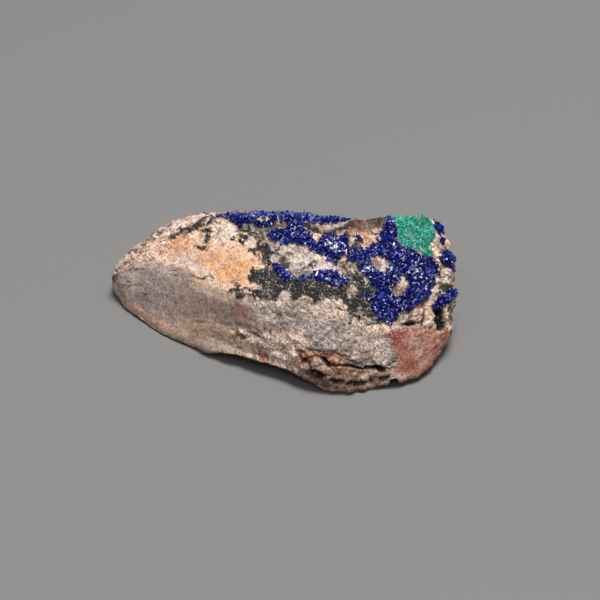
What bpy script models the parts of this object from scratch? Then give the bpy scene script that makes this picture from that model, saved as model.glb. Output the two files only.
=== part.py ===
# Azurite specimen: a wedge of host rock that rests on a flat cut, with crusts of azurite crystals,
# a malachite tuft and patches of black copper oxide on its upper side.
# Metres, +Z up. X runs along the rock, -Y is the broken front face, and the origin is on the
# resting plane, under the middle of the rock.

import math

import bmesh
import bpy
from mathutils import Vector

MM = 0.001

# --- Driving dimensions, in millimetres -----------------------------------------------------------

# Cross-sections of the rock, from its thin end to its blunt end. Each row is X and then (Y, Z) of
# the foot of the front face, the ridge above it, the crest of the roof, and the Y of the back.
SECTIONS = (
    (-36.1, (13.4, 2.4), (12.0, 5.2), (12.3, 5.4), 16.6),
    (-33.4, (7.9, -0.8), (11.2, 8.5), (12.9, 9.0), 16.8),
    (-26.0, (0.9, -1.0), (9.2, 10.4), (17.2, 15.7), 20.4),
    (-17.0, (-6.3, -1.2), (1.0, 12.2), (17.2, 19.1), 20.5),
    (-9.0, (-9.2, 2.2), (-5.9, 15.0), (15.0, 20.3), 19.0),
    (0.0, (-15.1, 1.9), (-9.4, 17.3), (12.6, 21.7), 17.2),
    (4.6, (-17.0, 1.6), (-11.4, 18.1), (11.4, 22.2), 16.2),
    (8.0, (-19.6, -1.4), (-12.9, 18.7), (10.2, 22.5), 15.5),
    (17.0, (-17.4, -1.6), (-12.2, 12.8), (9.0, 22.7), 14.8),
    (25.0, (-16.5, 0.4), (-9.4, 9.6), (9.6, 23.2), 14.6),
    (30.8, (-10.6, 0.7), (-8.1, 8.4), (10.6, 23.2), 13.4),
    (34.2, (-3.0, 4.9), (-3.2, 9.8), (3.2, 14.4), 8.2),
)
FRONT_BULGE = 0.07  # how far each face swells beyond its edges, as a share of its height
ROOF_BULGE = 0.03
BACK_BULGE = 0.12
FOOT_CREASE, RIDGE_CREASE, CREST_CREASE = 0.3, 0.6, 0.3  # sharpness of the long edges, from 0 to 1
SMOOTHING_LEVELS = 2

LUMP_SIZE = 9.0  # broad hollows and swellings of the broken rock
LUMP_HEIGHT = 0.7
KNOB_SIZE = 3.2  # smaller knobs on top of them
KNOB_HEIGHT = 0.35

MIDDLE = (-0.58, 0.81)  # where the middle of the whole specimen lies among the numbers here
BLOCK = 120.0  # side of the block that cuts the foot flat

# --- Crusts on the rock, in millimetres -----------------------------------------------------------
# Each crust is an outline in plan, smoothed through its points, that covers the rock from GAP above
# its surface to the crust's own thickness, between two heights.

GAP = 0.3
OUTLINE_STEPS = 2  # pieces of each smoothed stretch between two outline points

AZURITE_BLUE, MALACHITE_GREEN = (0.008, 0.012, 0.22), (0.03, 0.28, 0.17)
OXIDE_BLACK = (0.035, 0.032, 0.03)

CRUSTS = {
    # The bands along the crest and over the roof meet and spread into the field at the blunt end.
    "azurite_crust": {
        "thickness": 1.2,
        "heights": (6.0, 30.0),
        "colour": AZURITE_BLUE,
        "outline": (
            (-12.5, 15.4), (-6.0, 16.0), (0.0, 15.0), (6.0, 13.8), (12.0, 12.6), (16.5, 11.6),
            (16.0, 9.6), (11.0, 9.6), (6.0, 9.0), (4.0, 7.6), (5.0, 5.2), (6.9, 3.2), (9.5, 4.7),
            (12.4, 4.4), (12.8, 1.4), (15.0, 0.8), (17.2, 2.4), (18.5, 5.8), (19.8, 8.4),
            (21.3, 8.6), (21.6, 4.6), (23.4, 3.3), (25.8, 2.2), (29.0, 1.9), (30.6, 0.6),
            (30.2, -1.4), (28.8, -3.6), (26.6, -4.8), (24.5, -6.7), (22.0, -9.4), (19.4, -10.6),
            (17.2, -9.8), (15.4, -7.6), (18.0, -5.9), (17.0, -4.3), (14.4, -1.3), (12.4, -0.2),
            (10.4, -1.4), (9.8, -3.0), (7.2, -0.4), (4.6, 0.8), (2.2, 2.8), (-0.4, 3.2),
            (-3.2, 4.8), (-3.6, 6.8), (-0.4, 7.4), (0.8, 8.8), (-2.2, 10.4), (-6.0, 11.4),
            (-9.0, 11.0), (-10.6, 12.6),
        ),
    },
    "azurite_front_cluster": {
        "thickness": 1.2,
        "heights": (12.0, 24.0),
        "colour": AZURITE_BLUE,
        "outline": (
            (2.8, -5.7), (4.5, -6.0), (6.5, -5.0), (8.8, -4.9), (10.4, -4.2), (11.2, -5.3),
            (12.7, -5.4), (12.2, -6.5), (10.9, -7.8), (9.6, -8.5), (7.6, -7.7), (5.9, -6.8),
            (3.6, -6.8),
        ),
    },
    "azurite_streak": {
        "thickness": 1.0,
        "heights": (12.0, 24.0),
        "colour": AZURITE_BLUE,
        "outline": (
            (-2.4, -0.6), (-1.2, -1.1), (0.3, -3.1), (1.3, -4.8), (0.6, -5.7), (-0.6, -4.6),
            (-2.2, -1.8),
        ),
    },
    "azurite_knob": {
        "thickness": 1.2,
        "heights": (16.0, 26.0),
        "colour": AZURITE_BLUE,
        "outline": ((29.9, 10.6), (31.4, 10.4), (32.4, 8.0), (30.9, 7.2), (30.4, 8.8)),
    },
    "azurite_blade": {
        "thickness": 1.2,
        "heights": (13.5, 22.0),
        "colour": AZURITE_BLUE,
        "outline": ((30.8, 5.4), (33.4, 5.6), (35.2, 4.0), (34.6, 2.4), (32.4, 2.6), (30.9, 3.8)),
    },
    "azurite_lower_cluster": {
        "thickness": 1.2,
        "heights": (9.0, 18.0),
        "colour": AZURITE_BLUE,
        "outline": (
            (29.2, -4.8), (30.0, -4.0), (30.9, -2.4), (33.0, -1.8), (35.0, -2.6), (34.6, -4.4),
            (32.0, -5.0), (30.0, -5.8),
        ),
    },
    "malachite_tuft": {
        "thickness": 1.5,
        "heights": (12.0, 30.0),
        "colour": MALACHITE_GREEN,
        "outline": (
            (22.2, 9.0), (22.6, 11.4), (25.6, 12.4), (28.6, 11.8), (29.8, 9.6), (30.1, 7.4),
            (29.8, 6.0), (28.9, 4.9), (29.0, 3.4), (27.8, 2.8), (26.4, 3.0), (24.8, 3.8),
            (22.8, 4.6), (22.2, 6.4),
        ),
    },
    "oxide_crust_front": {
        "thickness": 0.9,
        "heights": (8.0, 26.0),
        "colour": OXIDE_BLACK,
        "outline": (
            (-6.6, -0.7), (-5.2, -1.8), (-3.5, -2.4), (-1.6, -4.2), (0.2, -6.6), (1.6, -6.6),
            (3.6, -7.5), (5.7, -7.5), (7.8, -8.6), (9.7, -9.3), (11.6, -8.4), (13.2, -6.8),
            (13.6, -5.0), (14.6, -3.0), (15.8, -3.8), (16.6, -5.6), (14.4, -7.0), (14.8, -8.9),
            (16.2, -10.2), (17.4, -11.4), (16.2, -12.4), (14.0, -12.8), (12.4, -12.4),
            (11.2, -11.2), (8.8, -10.9), (5.5, -10.9), (1.3, -9.7), (0.1, -8.4), (-0.7, -9.3),
            (-3.2, -8.1), (-5.2, -6.3), (-8.7, -4.6), (-7.4, -3.6), (-6.8, -2.6),
        ),
    },
    "oxide_crust_left": {
        "thickness": 0.8,
        "heights": (10.0, 24.0),
        "colour": OXIDE_BLACK,
        "outline": (
            (-23.1, 12.7), (-22.2, 13.8), (-19.4, 14.9), (-16.5, 15.2), (-14.8, 13.4),
            (-16.1, 12.2), (-15.4, 9.9), (-16.6, 8.2), (-18.0, 9.0), (-17.8, 10.9), (-20.0, 11.9),
        ),
    },
    "oxide_patch_upper": {
        "thickness": 0.8,
        "heights": (13.0, 24.0),
        "colour": OXIDE_BLACK,
        "outline": ((-6.0, 3.9), (-4.4, 4.0), (-1.4, 2.2), (-1.8, 0.6), (-3.4, -0.3), (-4.6, 1.6)),
    },
    "oxide_patch_left": {
        "thickness": 0.8,
        "heights": (12.0, 24.0),
        "colour": OXIDE_BLACK,
        "outline": ((-11.0, 8.2), (-9.4, 9.0), (-7.6, 7.3), (-8.3, 5.7), (-10.2, 6.4)),
    },
}

# Bare windows inside the azurite field, as the centre and the radius of a round opening.
WINDOWS = {"azurite_crust": ((18.9, -1.0, 1.5), (22.7, -4.0, 1.6))}
WINDOW_SIDES = 10


def clear_scene():
    """Removes what the startup scene holds."""
    for thing in list(bpy.data.objects):
        bpy.data.objects.remove(thing)


def material(name, colour, roughness):
    """A stone or crystal finish, with its colour as linear red, green and blue."""
    made = bpy.data.materials.new(name)
    made.use_nodes = True
    shader = made.node_tree.nodes["Principled BSDF"]
    shader.inputs["Base Color"].default_value = (*colour, 1.0)
    shader.inputs["Roughness"].default_value = roughness
    shader.inputs["Metallic"].default_value = 0.0
    return made


def new_object(name, mesh):
    """An object in the scene that holds the mesh, with the specimen's middle at the origin."""
    thing = bpy.data.objects.new(name, mesh)
    thing.location = (-MIDDLE[0] * MM, -MIDDLE[1] * MM, 0)
    bpy.context.scene.collection.objects.link(thing)
    return thing


def between(start, end, share, swell=0.0):
    """The point at that share of the way from start to end, pushed out to the left of the way by
    swell times its length."""
    along_y, along_z = end[0] - start[0], end[1] - start[1]
    return (
        start[0] + share * along_y - swell * along_z,
        start[1] + share * along_z + swell * along_y,
    )


def ring_of(section):
    """The (Y, Z) points around one cross-section, from the foot of the front over the roof."""
    _, foot, ridge, crest, back = section
    heel = (back - 1.2, -1.0)
    shoulder = (back, 0.55 * crest[1])
    return (
        foot,
        between(foot, ridge, 0.3, FRONT_BULGE),
        between(foot, ridge, 0.7, FRONT_BULGE),
        ridge,
        between(ridge, crest, 0.33, ROOF_BULGE),
        between(ridge, crest, 0.67, ROOF_BULGE),
        crest,
        between(crest, shoulder, 0.5, BACK_BULGE),
        shoulder,
        between(shoulder, heel, 0.6, 0.04),
        heel,
        between(heel, (foot[0] + 1.5, -1.0), 0.5),
    )


# Which point of a ring lies on each creased edge.
CREASES = {0: FOOT_CREASE, 3: RIDGE_CREASE, 6: CREST_CREASE}


def rock_cage():
    """The rock's coarse cage: a ring of points for each cross-section, joined ring to ring."""
    frame = bmesh.new()
    crease = frame.edges.layers.float.new("crease_edge")
    rings = []
    for section in SECTIONS:
        rings.append(
            [frame.verts.new((section[0] * MM, y * MM, z * MM)) for y, z in ring_of(section)]
        )
    around = len(rings[0])
    for near, far in zip(rings, rings[1:]):
        for i in range(around):
            j = (i + 1) % around
            frame.faces.new((near[i], far[i], far[j], near[j]))
    frame.faces.new(rings[0])
    frame.faces.new(reversed(rings[-1]))
    for near, far in zip(rings, rings[1:]):
        for i, sharpness in CREASES.items():
            frame.edges.get((near[i], far[i]))[crease] = sharpness
    bmesh.ops.recalc_face_normals(frame, faces=frame.faces)
    mesh = bpy.data.meshes.new("rock_cage")
    frame.to_mesh(mesh)
    frame.free()
    return mesh


def lumps(thing, name, size, height):
    """Displaces the surface in and out by a cloud noise of this feature size and height."""
    noise = bpy.data.textures.new(name, "CLOUDS")
    noise.noise_scale = size * MM
    noise.noise_depth = 1
    push = thing.modifiers.new(name, "DISPLACE")
    push.texture = noise
    push.texture_coords = "LOCAL"
    push.strength = height * MM
    push.mid_level = 0.5


def rock(name):
    """The smoothed and lumpy rock, before its foot is cut flat."""
    made = new_object(name, rock_cage())
    smooth = made.modifiers.new("rounded", "SUBSURF")
    smooth.levels = smooth.render_levels = SMOOTHING_LEVELS
    lumps(made, "lumps", LUMP_SIZE, LUMP_HEIGHT)
    lumps(made, "knobs", KNOB_SIZE, KNOB_HEIGHT)
    return made


def helper(name, frame):
    """A hidden object that only Booleans use, from the bmesh."""
    bmesh.ops.recalc_face_normals(frame, faces=frame.faces)
    mesh = bpy.data.meshes.new(name)
    frame.to_mesh(mesh)
    frame.free()
    made = new_object(name, mesh)
    made.hide_render = True
    made.display_type = "WIRE"
    return made


def block_below(height):
    """A block whose top face lies at that height."""
    frame = bmesh.new()
    bmesh.ops.create_cube(frame, size=BLOCK * MM)
    bmesh.ops.translate(frame, verts=frame.verts, vec=(0, 0, (height - BLOCK / 2) * MM))
    return helper("ground_cutter", frame)


def grown_rock(name, distance):
    """The rock swollen by a distance, as a helper for Booleans."""
    made = rock(name)
    made.hide_render = True
    made.display_type = "WIRE"
    swell = made.modifiers.new("swell", "DISPLACE")
    swell.strength = distance * MM
    swell.mid_level = 0.0
    return made


def smoothed(points, steps):
    """Points along the closed Catmull-Rom curve that passes through the given ones."""
    found = []
    count = len(points)
    for i in range(count):
        before, start, end, after = (Vector(points[(i + k) % count]) for k in (-1, 0, 1, 2))
        for step in range(steps):
            t = step / steps
            bend = 2 * before - 5 * start + 4 * end - after
            twist = 3 * start - before - 3 * end + after
            found.append(0.5 * (2 * start + (end - before) * t + bend * t**2 + twist * t**3))
    return found


def prism(name, outline, low, high):
    """A straight prism over the outline, between two heights."""
    frame = bmesh.new()
    foot = [frame.verts.new((x * MM, y * MM, low * MM)) for x, y in outline]
    face = frame.faces.new(foot)
    grown = bmesh.ops.extrude_face_region(frame, geom=[face])
    raised = [v for v in grown["geom"] if isinstance(v, bmesh.types.BMVert)]
    bmesh.ops.translate(frame, verts=raised, vec=(0, 0, (high - low) * MM))
    return helper(name, frame)


def round_outline(x, y, radius):
    """The corners of a regular polygon around a point."""
    turn = 2 * math.pi / WINDOW_SIDES
    return [
        (x + radius * math.cos(i * turn), y + radius * math.sin(i * turn))
        for i in range(WINDOW_SIDES)
    ]


def combine(thing, name, operation, other):
    """Adds an exact Boolean with the other object."""
    step = thing.modifiers.new(name, "BOOLEAN")
    step.operation = operation
    step.solver = "EXACT"
    step.object = other


def crust(name, design, shells):
    """A crust: its prism, kept only between the rock's surface and the swollen rock."""
    low, high = design["heights"]
    made = prism(name, smoothed(design["outline"], OUTLINE_STEPS), low, high)
    made.hide_render = False
    made.display_type = "TEXTURED"
    made.data.materials.append(material(name, design["colour"], 0.4))
    combine(made, "outer_face", "INTERSECT", shells[design["thickness"]])
    combine(made, "inner_face", "DIFFERENCE", shells[GAP])
    for i, (x, y, radius) in enumerate(WINDOWS.get(name, ())):
        opening = prism(f"{name}_window_{i}", round_outline(x, y, radius), low, high)
        combine(made, f"window_{i}", "DIFFERENCE", opening)
    return made


clear_scene()
matrix = rock("matrix")
matrix.data.materials.append(material("host_rock", (0.42, 0.28, 0.20), 0.85))
combine(matrix, "flat_foot", "DIFFERENCE", block_below(0.0))

shells = {
    distance: grown_rock(f"rock_grown_{int(distance * 10)}", distance)
    for distance in sorted({GAP} | {design["thickness"] for design in CRUSTS.values()})
}
for name, design in CRUSTS.items():
    crust(name, design, shells)
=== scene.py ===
import math

import bpy
import numpy as np
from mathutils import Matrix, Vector


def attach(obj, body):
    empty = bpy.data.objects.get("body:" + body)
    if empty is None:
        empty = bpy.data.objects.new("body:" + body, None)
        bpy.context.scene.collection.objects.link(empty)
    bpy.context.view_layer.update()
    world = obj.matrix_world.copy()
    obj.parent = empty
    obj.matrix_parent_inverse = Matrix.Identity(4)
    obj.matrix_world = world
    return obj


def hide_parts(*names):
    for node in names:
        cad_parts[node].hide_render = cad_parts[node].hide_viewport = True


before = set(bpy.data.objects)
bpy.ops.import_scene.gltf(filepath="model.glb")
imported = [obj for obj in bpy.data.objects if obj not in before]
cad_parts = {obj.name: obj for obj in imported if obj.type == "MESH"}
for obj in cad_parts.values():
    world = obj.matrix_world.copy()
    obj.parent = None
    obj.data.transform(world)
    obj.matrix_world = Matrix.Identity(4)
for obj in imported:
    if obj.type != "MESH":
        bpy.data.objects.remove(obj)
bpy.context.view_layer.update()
mm = 0.001


view = {
    "elevation": 38.0,  # degrees above the floor, looking along +Y
    "distance": 350.0,  # mm from the point it looks at
    "lens": 105.0,
    "sensor": 36.0,
    "lookAt": (3.58, -0.81, 9.0),  # mm
    "nearest": 10.0,  # mm, where it starts to see
    "frameSize": 600,  # pixels a side
}


# Where the camera stands, and its forward, right and up directions, in mm.
def cameraAxes():
    tilt = math.radians(view["elevation"])
    forward = np.array([0.0, math.cos(tilt), -math.sin(tilt)])
    up = np.array([0.0, math.sin(tilt), math.cos(tilt)])
    return np.array(view["lookAt"]) - view["distance"] * forward, forward, np.array([1.0, 0, 0]), up


def addCamera():
    place, forward, right, up = cameraAxes()
    lens = bpy.data.cameras.new("camera")
    lens.lens, lens.sensor_width = view["lens"], view["sensor"]
    lens.clip_start = view["nearest"] * mm
    camera = bpy.data.objects.new("camera", lens)
    bpy.context.scene.collection.objects.link(camera)
    camera.location = Vector(place * mm)
    camera.rotation_euler = Vector(forward).to_track_quat("-Z", "Y").to_euler()
    bpy.context.scene.camera = camera


# Where points in mm land in the frame, as pixel columns and rows.
def toPixels(points):
    place, forward, right, up = cameraAxes()
    away = points - place
    scale = view["lens"] / view["sensor"] * view["frameSize"] / (away @ forward)
    middle = view["frameSize"] / 2
    return np.stack([middle + (away @ right) * scale, middle - (away @ up) * scale], axis=-1)


addCamera()
print("camera set")


# sRGB hex to linear red, green, blue: the standard curve, channel by channel.
def linear(hexColour):
    parts = np.array([int(hexColour[i:i + 2], 16) / 255 for i in (1, 3, 5)])
    return np.where(parts <= 0.04045, parts / 12.92, ((parts + 0.055) / 1.055) ** 2.4)


# 0 below low, 1 above high, and 3t^2 - 2t^3 between.
def smoothStep(low, high, values):
    t = np.clip((values - low) / (high - low), 0, 1)
    return t * t * (3 - 2 * t)


# A repeatable random number from 0 to 1 for each whole-number cell, by mixing its bits.
def lattice(cells, seed):
    c = cells.astype(np.int64).astype(np.uint32)
    n = c[..., 0] * np.uint32(374761393) + c[..., 1] * np.uint32(668265263)
    n = n + c[..., 2] * np.uint32(2147483647) + np.uint32(seed * 1013904223 & 0xffffffff)
    n = (n ^ (n >> np.uint32(13))) * np.uint32(1274126177)
    n = (n ^ (n >> np.uint32(15))) * np.uint32(2246822519)
    return ((n ^ (n >> np.uint32(16))) & np.uint32(0xffffff)) / float(0xffffff)


# Value noise from -1 to 1: lattice values blended smoothly, halved in size for each octave.
def cloud(points, size, seed, octaves=1):
    total, gain, reach = 0.0, 1.0, 0.0
    for octave in range(octaves):
        at = points * (2 ** octave / size) + 31.7 * octave
        base = np.floor(at)
        t = at - base
        t = t * t * t * (t * (6 * t - 15) + 10)
        value = 0.0
        for corner in np.ndindex(2, 2, 2):
            weight = np.prod(np.where(np.array(corner) == 1, t, 1 - t), axis=-1)
            value = value + weight * lattice(base + np.array(corner), seed + octave)
        total, reach = total + gain * (2 * value - 1), reach + gain
        gain *= 0.5
    return total / reach


# Cellular noise: distance to the nearest and second nearest of the points strewn one to a cell,
# in units of size, the random number of the nearest, and the way from it.
def cells(points, size, seed):
    at = points / size
    base = np.floor(at)
    nearest = np.full(len(at), 9.0)
    second = np.full(len(at), 9.0)
    tag = np.zeros(len(at))
    away = np.zeros_like(at)
    for step in np.ndindex(3, 3, 3):
        cell = base + np.array(step) - 1
        spot = cell + np.stack([lattice(cell, seed + k) for k in (1, 2, 3)], axis=-1)
        offset = at - spot
        distance = np.sqrt((offset ** 2).sum(-1))
        closer = distance < nearest
        second = np.where(closer, nearest, np.minimum(second, distance))
        tag = np.where(closer, lattice(cell, seed + 4), tag)
        away = np.where(closer[:, None], offset, away)
        nearest = np.where(closer, distance, nearest)
    return nearest, second, tag, away * size


# Distance from each spot to the nearest stretch of the line, in pixels.
def lineDistance(spots, line, closed=False):
    line = np.array(line, float)
    starts, ends = (line, np.roll(line, -1, 0)) if closed else (line[:-1], line[1:])
    best = np.full(len(spots), 1e9)
    for start, end in zip(starts, ends):
        way = end - start
        along = np.clip(((spots - start) @ way) / max(way @ way, 1e-9), 0, 1)
        best = np.minimum(best, ((spots - start - along[:, None] * way) ** 2).sum(-1))
    return np.sqrt(best)


# True where a spot lies inside the closed line: an odd number of edges cross the way to its right.
def insideOutline(spots, line):
    line = np.array(line, float)
    crossings = np.zeros(len(spots), bool)
    for (x0, y0), (x1, y1) in zip(line, np.roll(line, -1, 0)):
        if y0 == y1:
            continue
        spans = (spots[:, 1] < y0) != (spots[:, 1] < y1)
        at = x0 + (spots[:, 1] - y0) * (x1 - x0) / (y1 - y0)
        crossings ^= spans & (spots[:, 0] < at)
    return crossings


# A shape in pixels: an outline, or a line where it has a width, and whatever else is said of it.
def patch(points, width=None, **says):
    return dict(outline=points, **says) if width is None else dict(line=points, width=width, **says)


farthest = 20  # pixels outside a shape that its edge is looked for


# How far inside a shape each spot is, in pixels, and negative outside it.
def edgeDepth(spots, shape):
    line = np.array(shape.get("outline") or shape["line"], float)
    reach = farthest + shape.get("width", 0)
    near = ((spots > line.min(0) - reach) & (spots < line.max(0) + reach)).all(-1)
    depth = np.full(len(spots), -99.0)
    if "outline" in shape:
        far = lineDistance(spots[near], line, closed=True)
        depth[near] = np.where(insideOutline(spots[near], line), far, -far)
    else:
        depth[near] = shape["width"] / 2 - lineDistance(spots[near], line)
    return depth


# Quads of a grid of closed rings, as vertex numbers.
def gridFaces(rings, around):
    i, j = np.meshgrid(np.arange(rings - 1), np.arange(around), indexing="ij")
    k = (j + 1) % around
    quads = np.stack([i * around + j, i * around + k, (i + 1) * around + k, (i + 1) * around + j], -1)
    return quads.reshape(-1, 4)


# A mesh object from points in mm and arrays of faces, each with its own number of corners.
def makeMesh(name, points, *faceSets):
    mesh = bpy.data.meshes.new(name)
    mesh.vertices.add(len(points))
    mesh.vertices.foreach_set("co", (points * mm).astype(np.float32).ravel())
    corners = np.concatenate([f.ravel() for f in faceSets])
    counts = np.concatenate([np.full(len(f), f.shape[1]) for f in faceSets])
    mesh.loops.add(len(corners))
    mesh.loops.foreach_set("vertex_index", corners.astype(np.int32))
    mesh.polygons.add(len(counts))
    mesh.polygons.foreach_set("loop_start", (np.cumsum(counts) - counts).astype(np.int32))
    mesh.update(calc_edges=True)
    mesh.validate()
    made = bpy.data.objects.new(name, mesh)
    bpy.context.scene.collection.objects.link(made)
    return made


# Stores a number, or a colour, on each vertex for the material to read.
def giveNumbers(piece, name, values):
    kind = "FLOAT" if values.ndim == 1 else "FLOAT_COLOR"
    layer = piece.data.attributes.new(name, kind, "POINT")
    if values.ndim == 1:
        layer.data.foreach_set("value", values.astype(np.float32))
    else:
        full = np.concatenate([values, np.ones((len(values), 1))], axis=1)
        layer.data.foreach_set("color", full.astype(np.float32).ravel())


# The vertices of a mesh in mm.
def pointsOf(mesh):
    found = np.empty(len(mesh.vertices) * 3, np.float32)
    mesh.vertices.foreach_get("co", found)
    return found.reshape(-1, 3).astype(float) / mm


rock = {
    "rings": 330,
    "around": 292,
    "weld": 0.001,  # mm between corners that count as one
    "slab": 2.5,  # mm, thickness of the slices that give the rock's section
    "fewest": 5,  # corners that a slice needs to count
    "steps": 4000,  # along the rock, for measuring its outline
    "denseTowards": 137.0,  # degrees round the long axis where the points stand closest: the roof's front
    "denseness": 0.42,
    "endBluntness": 5.0,
    "outset": 2.0,  # mm the rings start outside the rock, so that they reach into its corners
    "evenings": 6,  # passes that even out the spacing before the last laying on
    "smoothings": 24,  # passes that round off the CAD facets, in and out by turns
    "easeIn": 0.6,  # share of the way that a pass draws in
    "easeOut": -0.61,  # and that the next one pushes back out
}


# A copy of a CAD node's mesh with its loose triangles joined, to lay a finer surface on.
def mergedCopy(node):
    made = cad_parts[node].copy()
    made.data = made.data.copy()
    bpy.context.scene.collection.objects.link(made)
    made.parent = None
    weld = made.modifiers.new("weld", "WELD")
    weld.merge_threshold = rock["weld"] * mm
    return made


# The points moved to the nearest place on the target.
def laidOn(target, points, faces):
    piece = makeMesh("laying", points, *faces)
    wrap = piece.modifiers.new("wrap", "SHRINKWRAP")
    wrap.wrap_method = "NEAREST_SURFACEPOINT"
    wrap.target = target
    evaluated = piece.evaluated_get(bpy.context.evaluated_depsgraph_get())
    found = pointsOf(evaluated.data)
    bpy.data.objects.remove(piece)
    return found


# Each point of the grid moved a share of the way to the mean of its four neighbours, pass after pass.
# A pass with a negative share pushes back out what the one before it drew in.
def evened(points, shares):
    rings, around = rock["rings"], rock["around"]
    grid = points[:-2].reshape(rings, around, 3)
    first, last = points[-2], points[-1]
    for share in shares:
        before = np.concatenate([np.broadcast_to(first, (1, around, 3)), grid[:-1]])
        after = np.concatenate([grid[1:], np.broadcast_to(last, (1, around, 3))])
        mean = (before + after + np.roll(grid, 1, 1) + np.roll(grid, -1, 1)) / 4
        grid = grid + share * (mean - grid)
        first, last = grid[0].mean(0), grid[-1].mean(0)
    return np.concatenate([grid.reshape(-1, 3), first[None], last[None]])


# Rings round the long axis, laid on the CAD rock.
# A ring stands where the rock's outline, measured along itself, has gone an equal step further.
# Its points are (y, z) = middle + half size (cos a, sin a), with a = 2 pi u - k sin 2 pi u, which
# draws them together on the side that k favours.
def rockGrid():
    target = mergedCopy("matrix")
    solid = pointsOf(target.data)
    low, high = solid.min(0), solid.max(0)
    edges = np.arange(low[0], high[0] + rock["slab"], rock["slab"])
    slabs = [solid[(solid[:, 0] >= a) & (solid[:, 0] < a + rock["slab"])][:, 1:] for a in edges]
    full = [(edge, slab) for edge, slab in zip(edges, slabs) if len(slab) > rock["fewest"]]
    mids = np.array([edge + rock["slab"] / 2 for edge, _ in full])
    lows, highs = np.array([slab.min(0) for _, slab in full]), np.array([slab.max(0) for _, slab in full])

    def section(x):
        found = [np.interp(x, mids, v[:, k]) for v in (lows, highs) for k in (0, 1)]
        across = (x - (low[0] + high[0]) / 2) / ((high[0] - low[0]) / 2)
        closing = np.clip(1 - np.abs(across) ** rock["endBluntness"], 0, 1) ** (1 / rock["endBluntness"])
        return (found[0] + found[2]) / 2, (found[1] + found[3]) / 2, \
            (found[2] - found[0]) / 2 * closing, (found[3] - found[1]) / 2 * closing

    fine = low[0] + (high[0] - low[0]) * (1 - np.cos(np.linspace(0, np.pi, rock["steps"]))) / 2
    _, _, halfY, halfZ = section(fine)
    path = np.concatenate([[0], np.cumsum(np.hypot(np.diff(fine), np.diff((halfY + halfZ) / 2)))])
    x = np.interp(np.linspace(0, path[-1], rock["rings"] + 2)[1:-1], path, fine)
    midY, midZ, halfY, halfZ = (v[:, None] for v in section(x))
    u = np.linspace(-0.5, 0.5, rock["around"], endpoint=False)
    turn = 2 * np.pi * u - rock["denseness"] * np.sin(2 * np.pi * u)
    turn = math.radians(rock["denseTowards"]) + turn[None, :]
    grid = np.stack([np.broadcast_to(x[:, None], (len(x), len(u))),
                     midY + (halfY + rock["outset"]) * np.cos(turn),
                     midZ + (halfZ + rock["outset"]) * np.sin(turn)], axis=-1)
    points = np.concatenate([grid.reshape(-1, 3), grid[0].mean(0)[None], grid[-1].mean(0)[None]])
    faces = rockFaces()
    points = laidOn(target, points, faces)
    points = evened(points, [1.0] * rock["evenings"])
    points = laidOn(target, points + rock["outset"] * gridNormals(points), faces)
    points = evened(points, [rock["easeIn"], rock["easeOut"]] * (rock["smoothings"] // 2))
    bpy.data.objects.remove(target)
    return points


# The grid's quads and the two fans that close its ends.
def rockFaces():
    rings, around = rock["rings"], rock["around"]
    j = np.arange(around)
    k = (j + 1) % around
    last = (rings - 1) * around
    first = np.stack([np.full(around, rings * around), k, j], -1)
    end = np.stack([np.full(around, rings * around + 1), last + j, last + k], -1)
    return gridFaces(rings, around), np.concatenate([first, end])


# Outward normals of the rock's grid: the cross product of its two directions.
def gridNormals(points):
    rings, around = rock["rings"], rock["around"]
    grid = points[:-2].reshape(rings, around, 3)
    along = np.gradient(grid, axis=0)
    across = (np.roll(grid, -1, 1) - np.roll(grid, 1, 1)) / 2
    normal = np.cross(across, along)
    normal /= np.maximum(np.linalg.norm(normal, axis=-1, keepdims=True), 1e-9)
    ends = np.array([[-1.0, 0, 0], [1.0, 0, 0]])
    return np.concatenate([normal.reshape(-1, 3), ends])


base = rockGrid()
normals = gridNormals(base)
print("rock surface laid:", len(base), "points")


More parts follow.
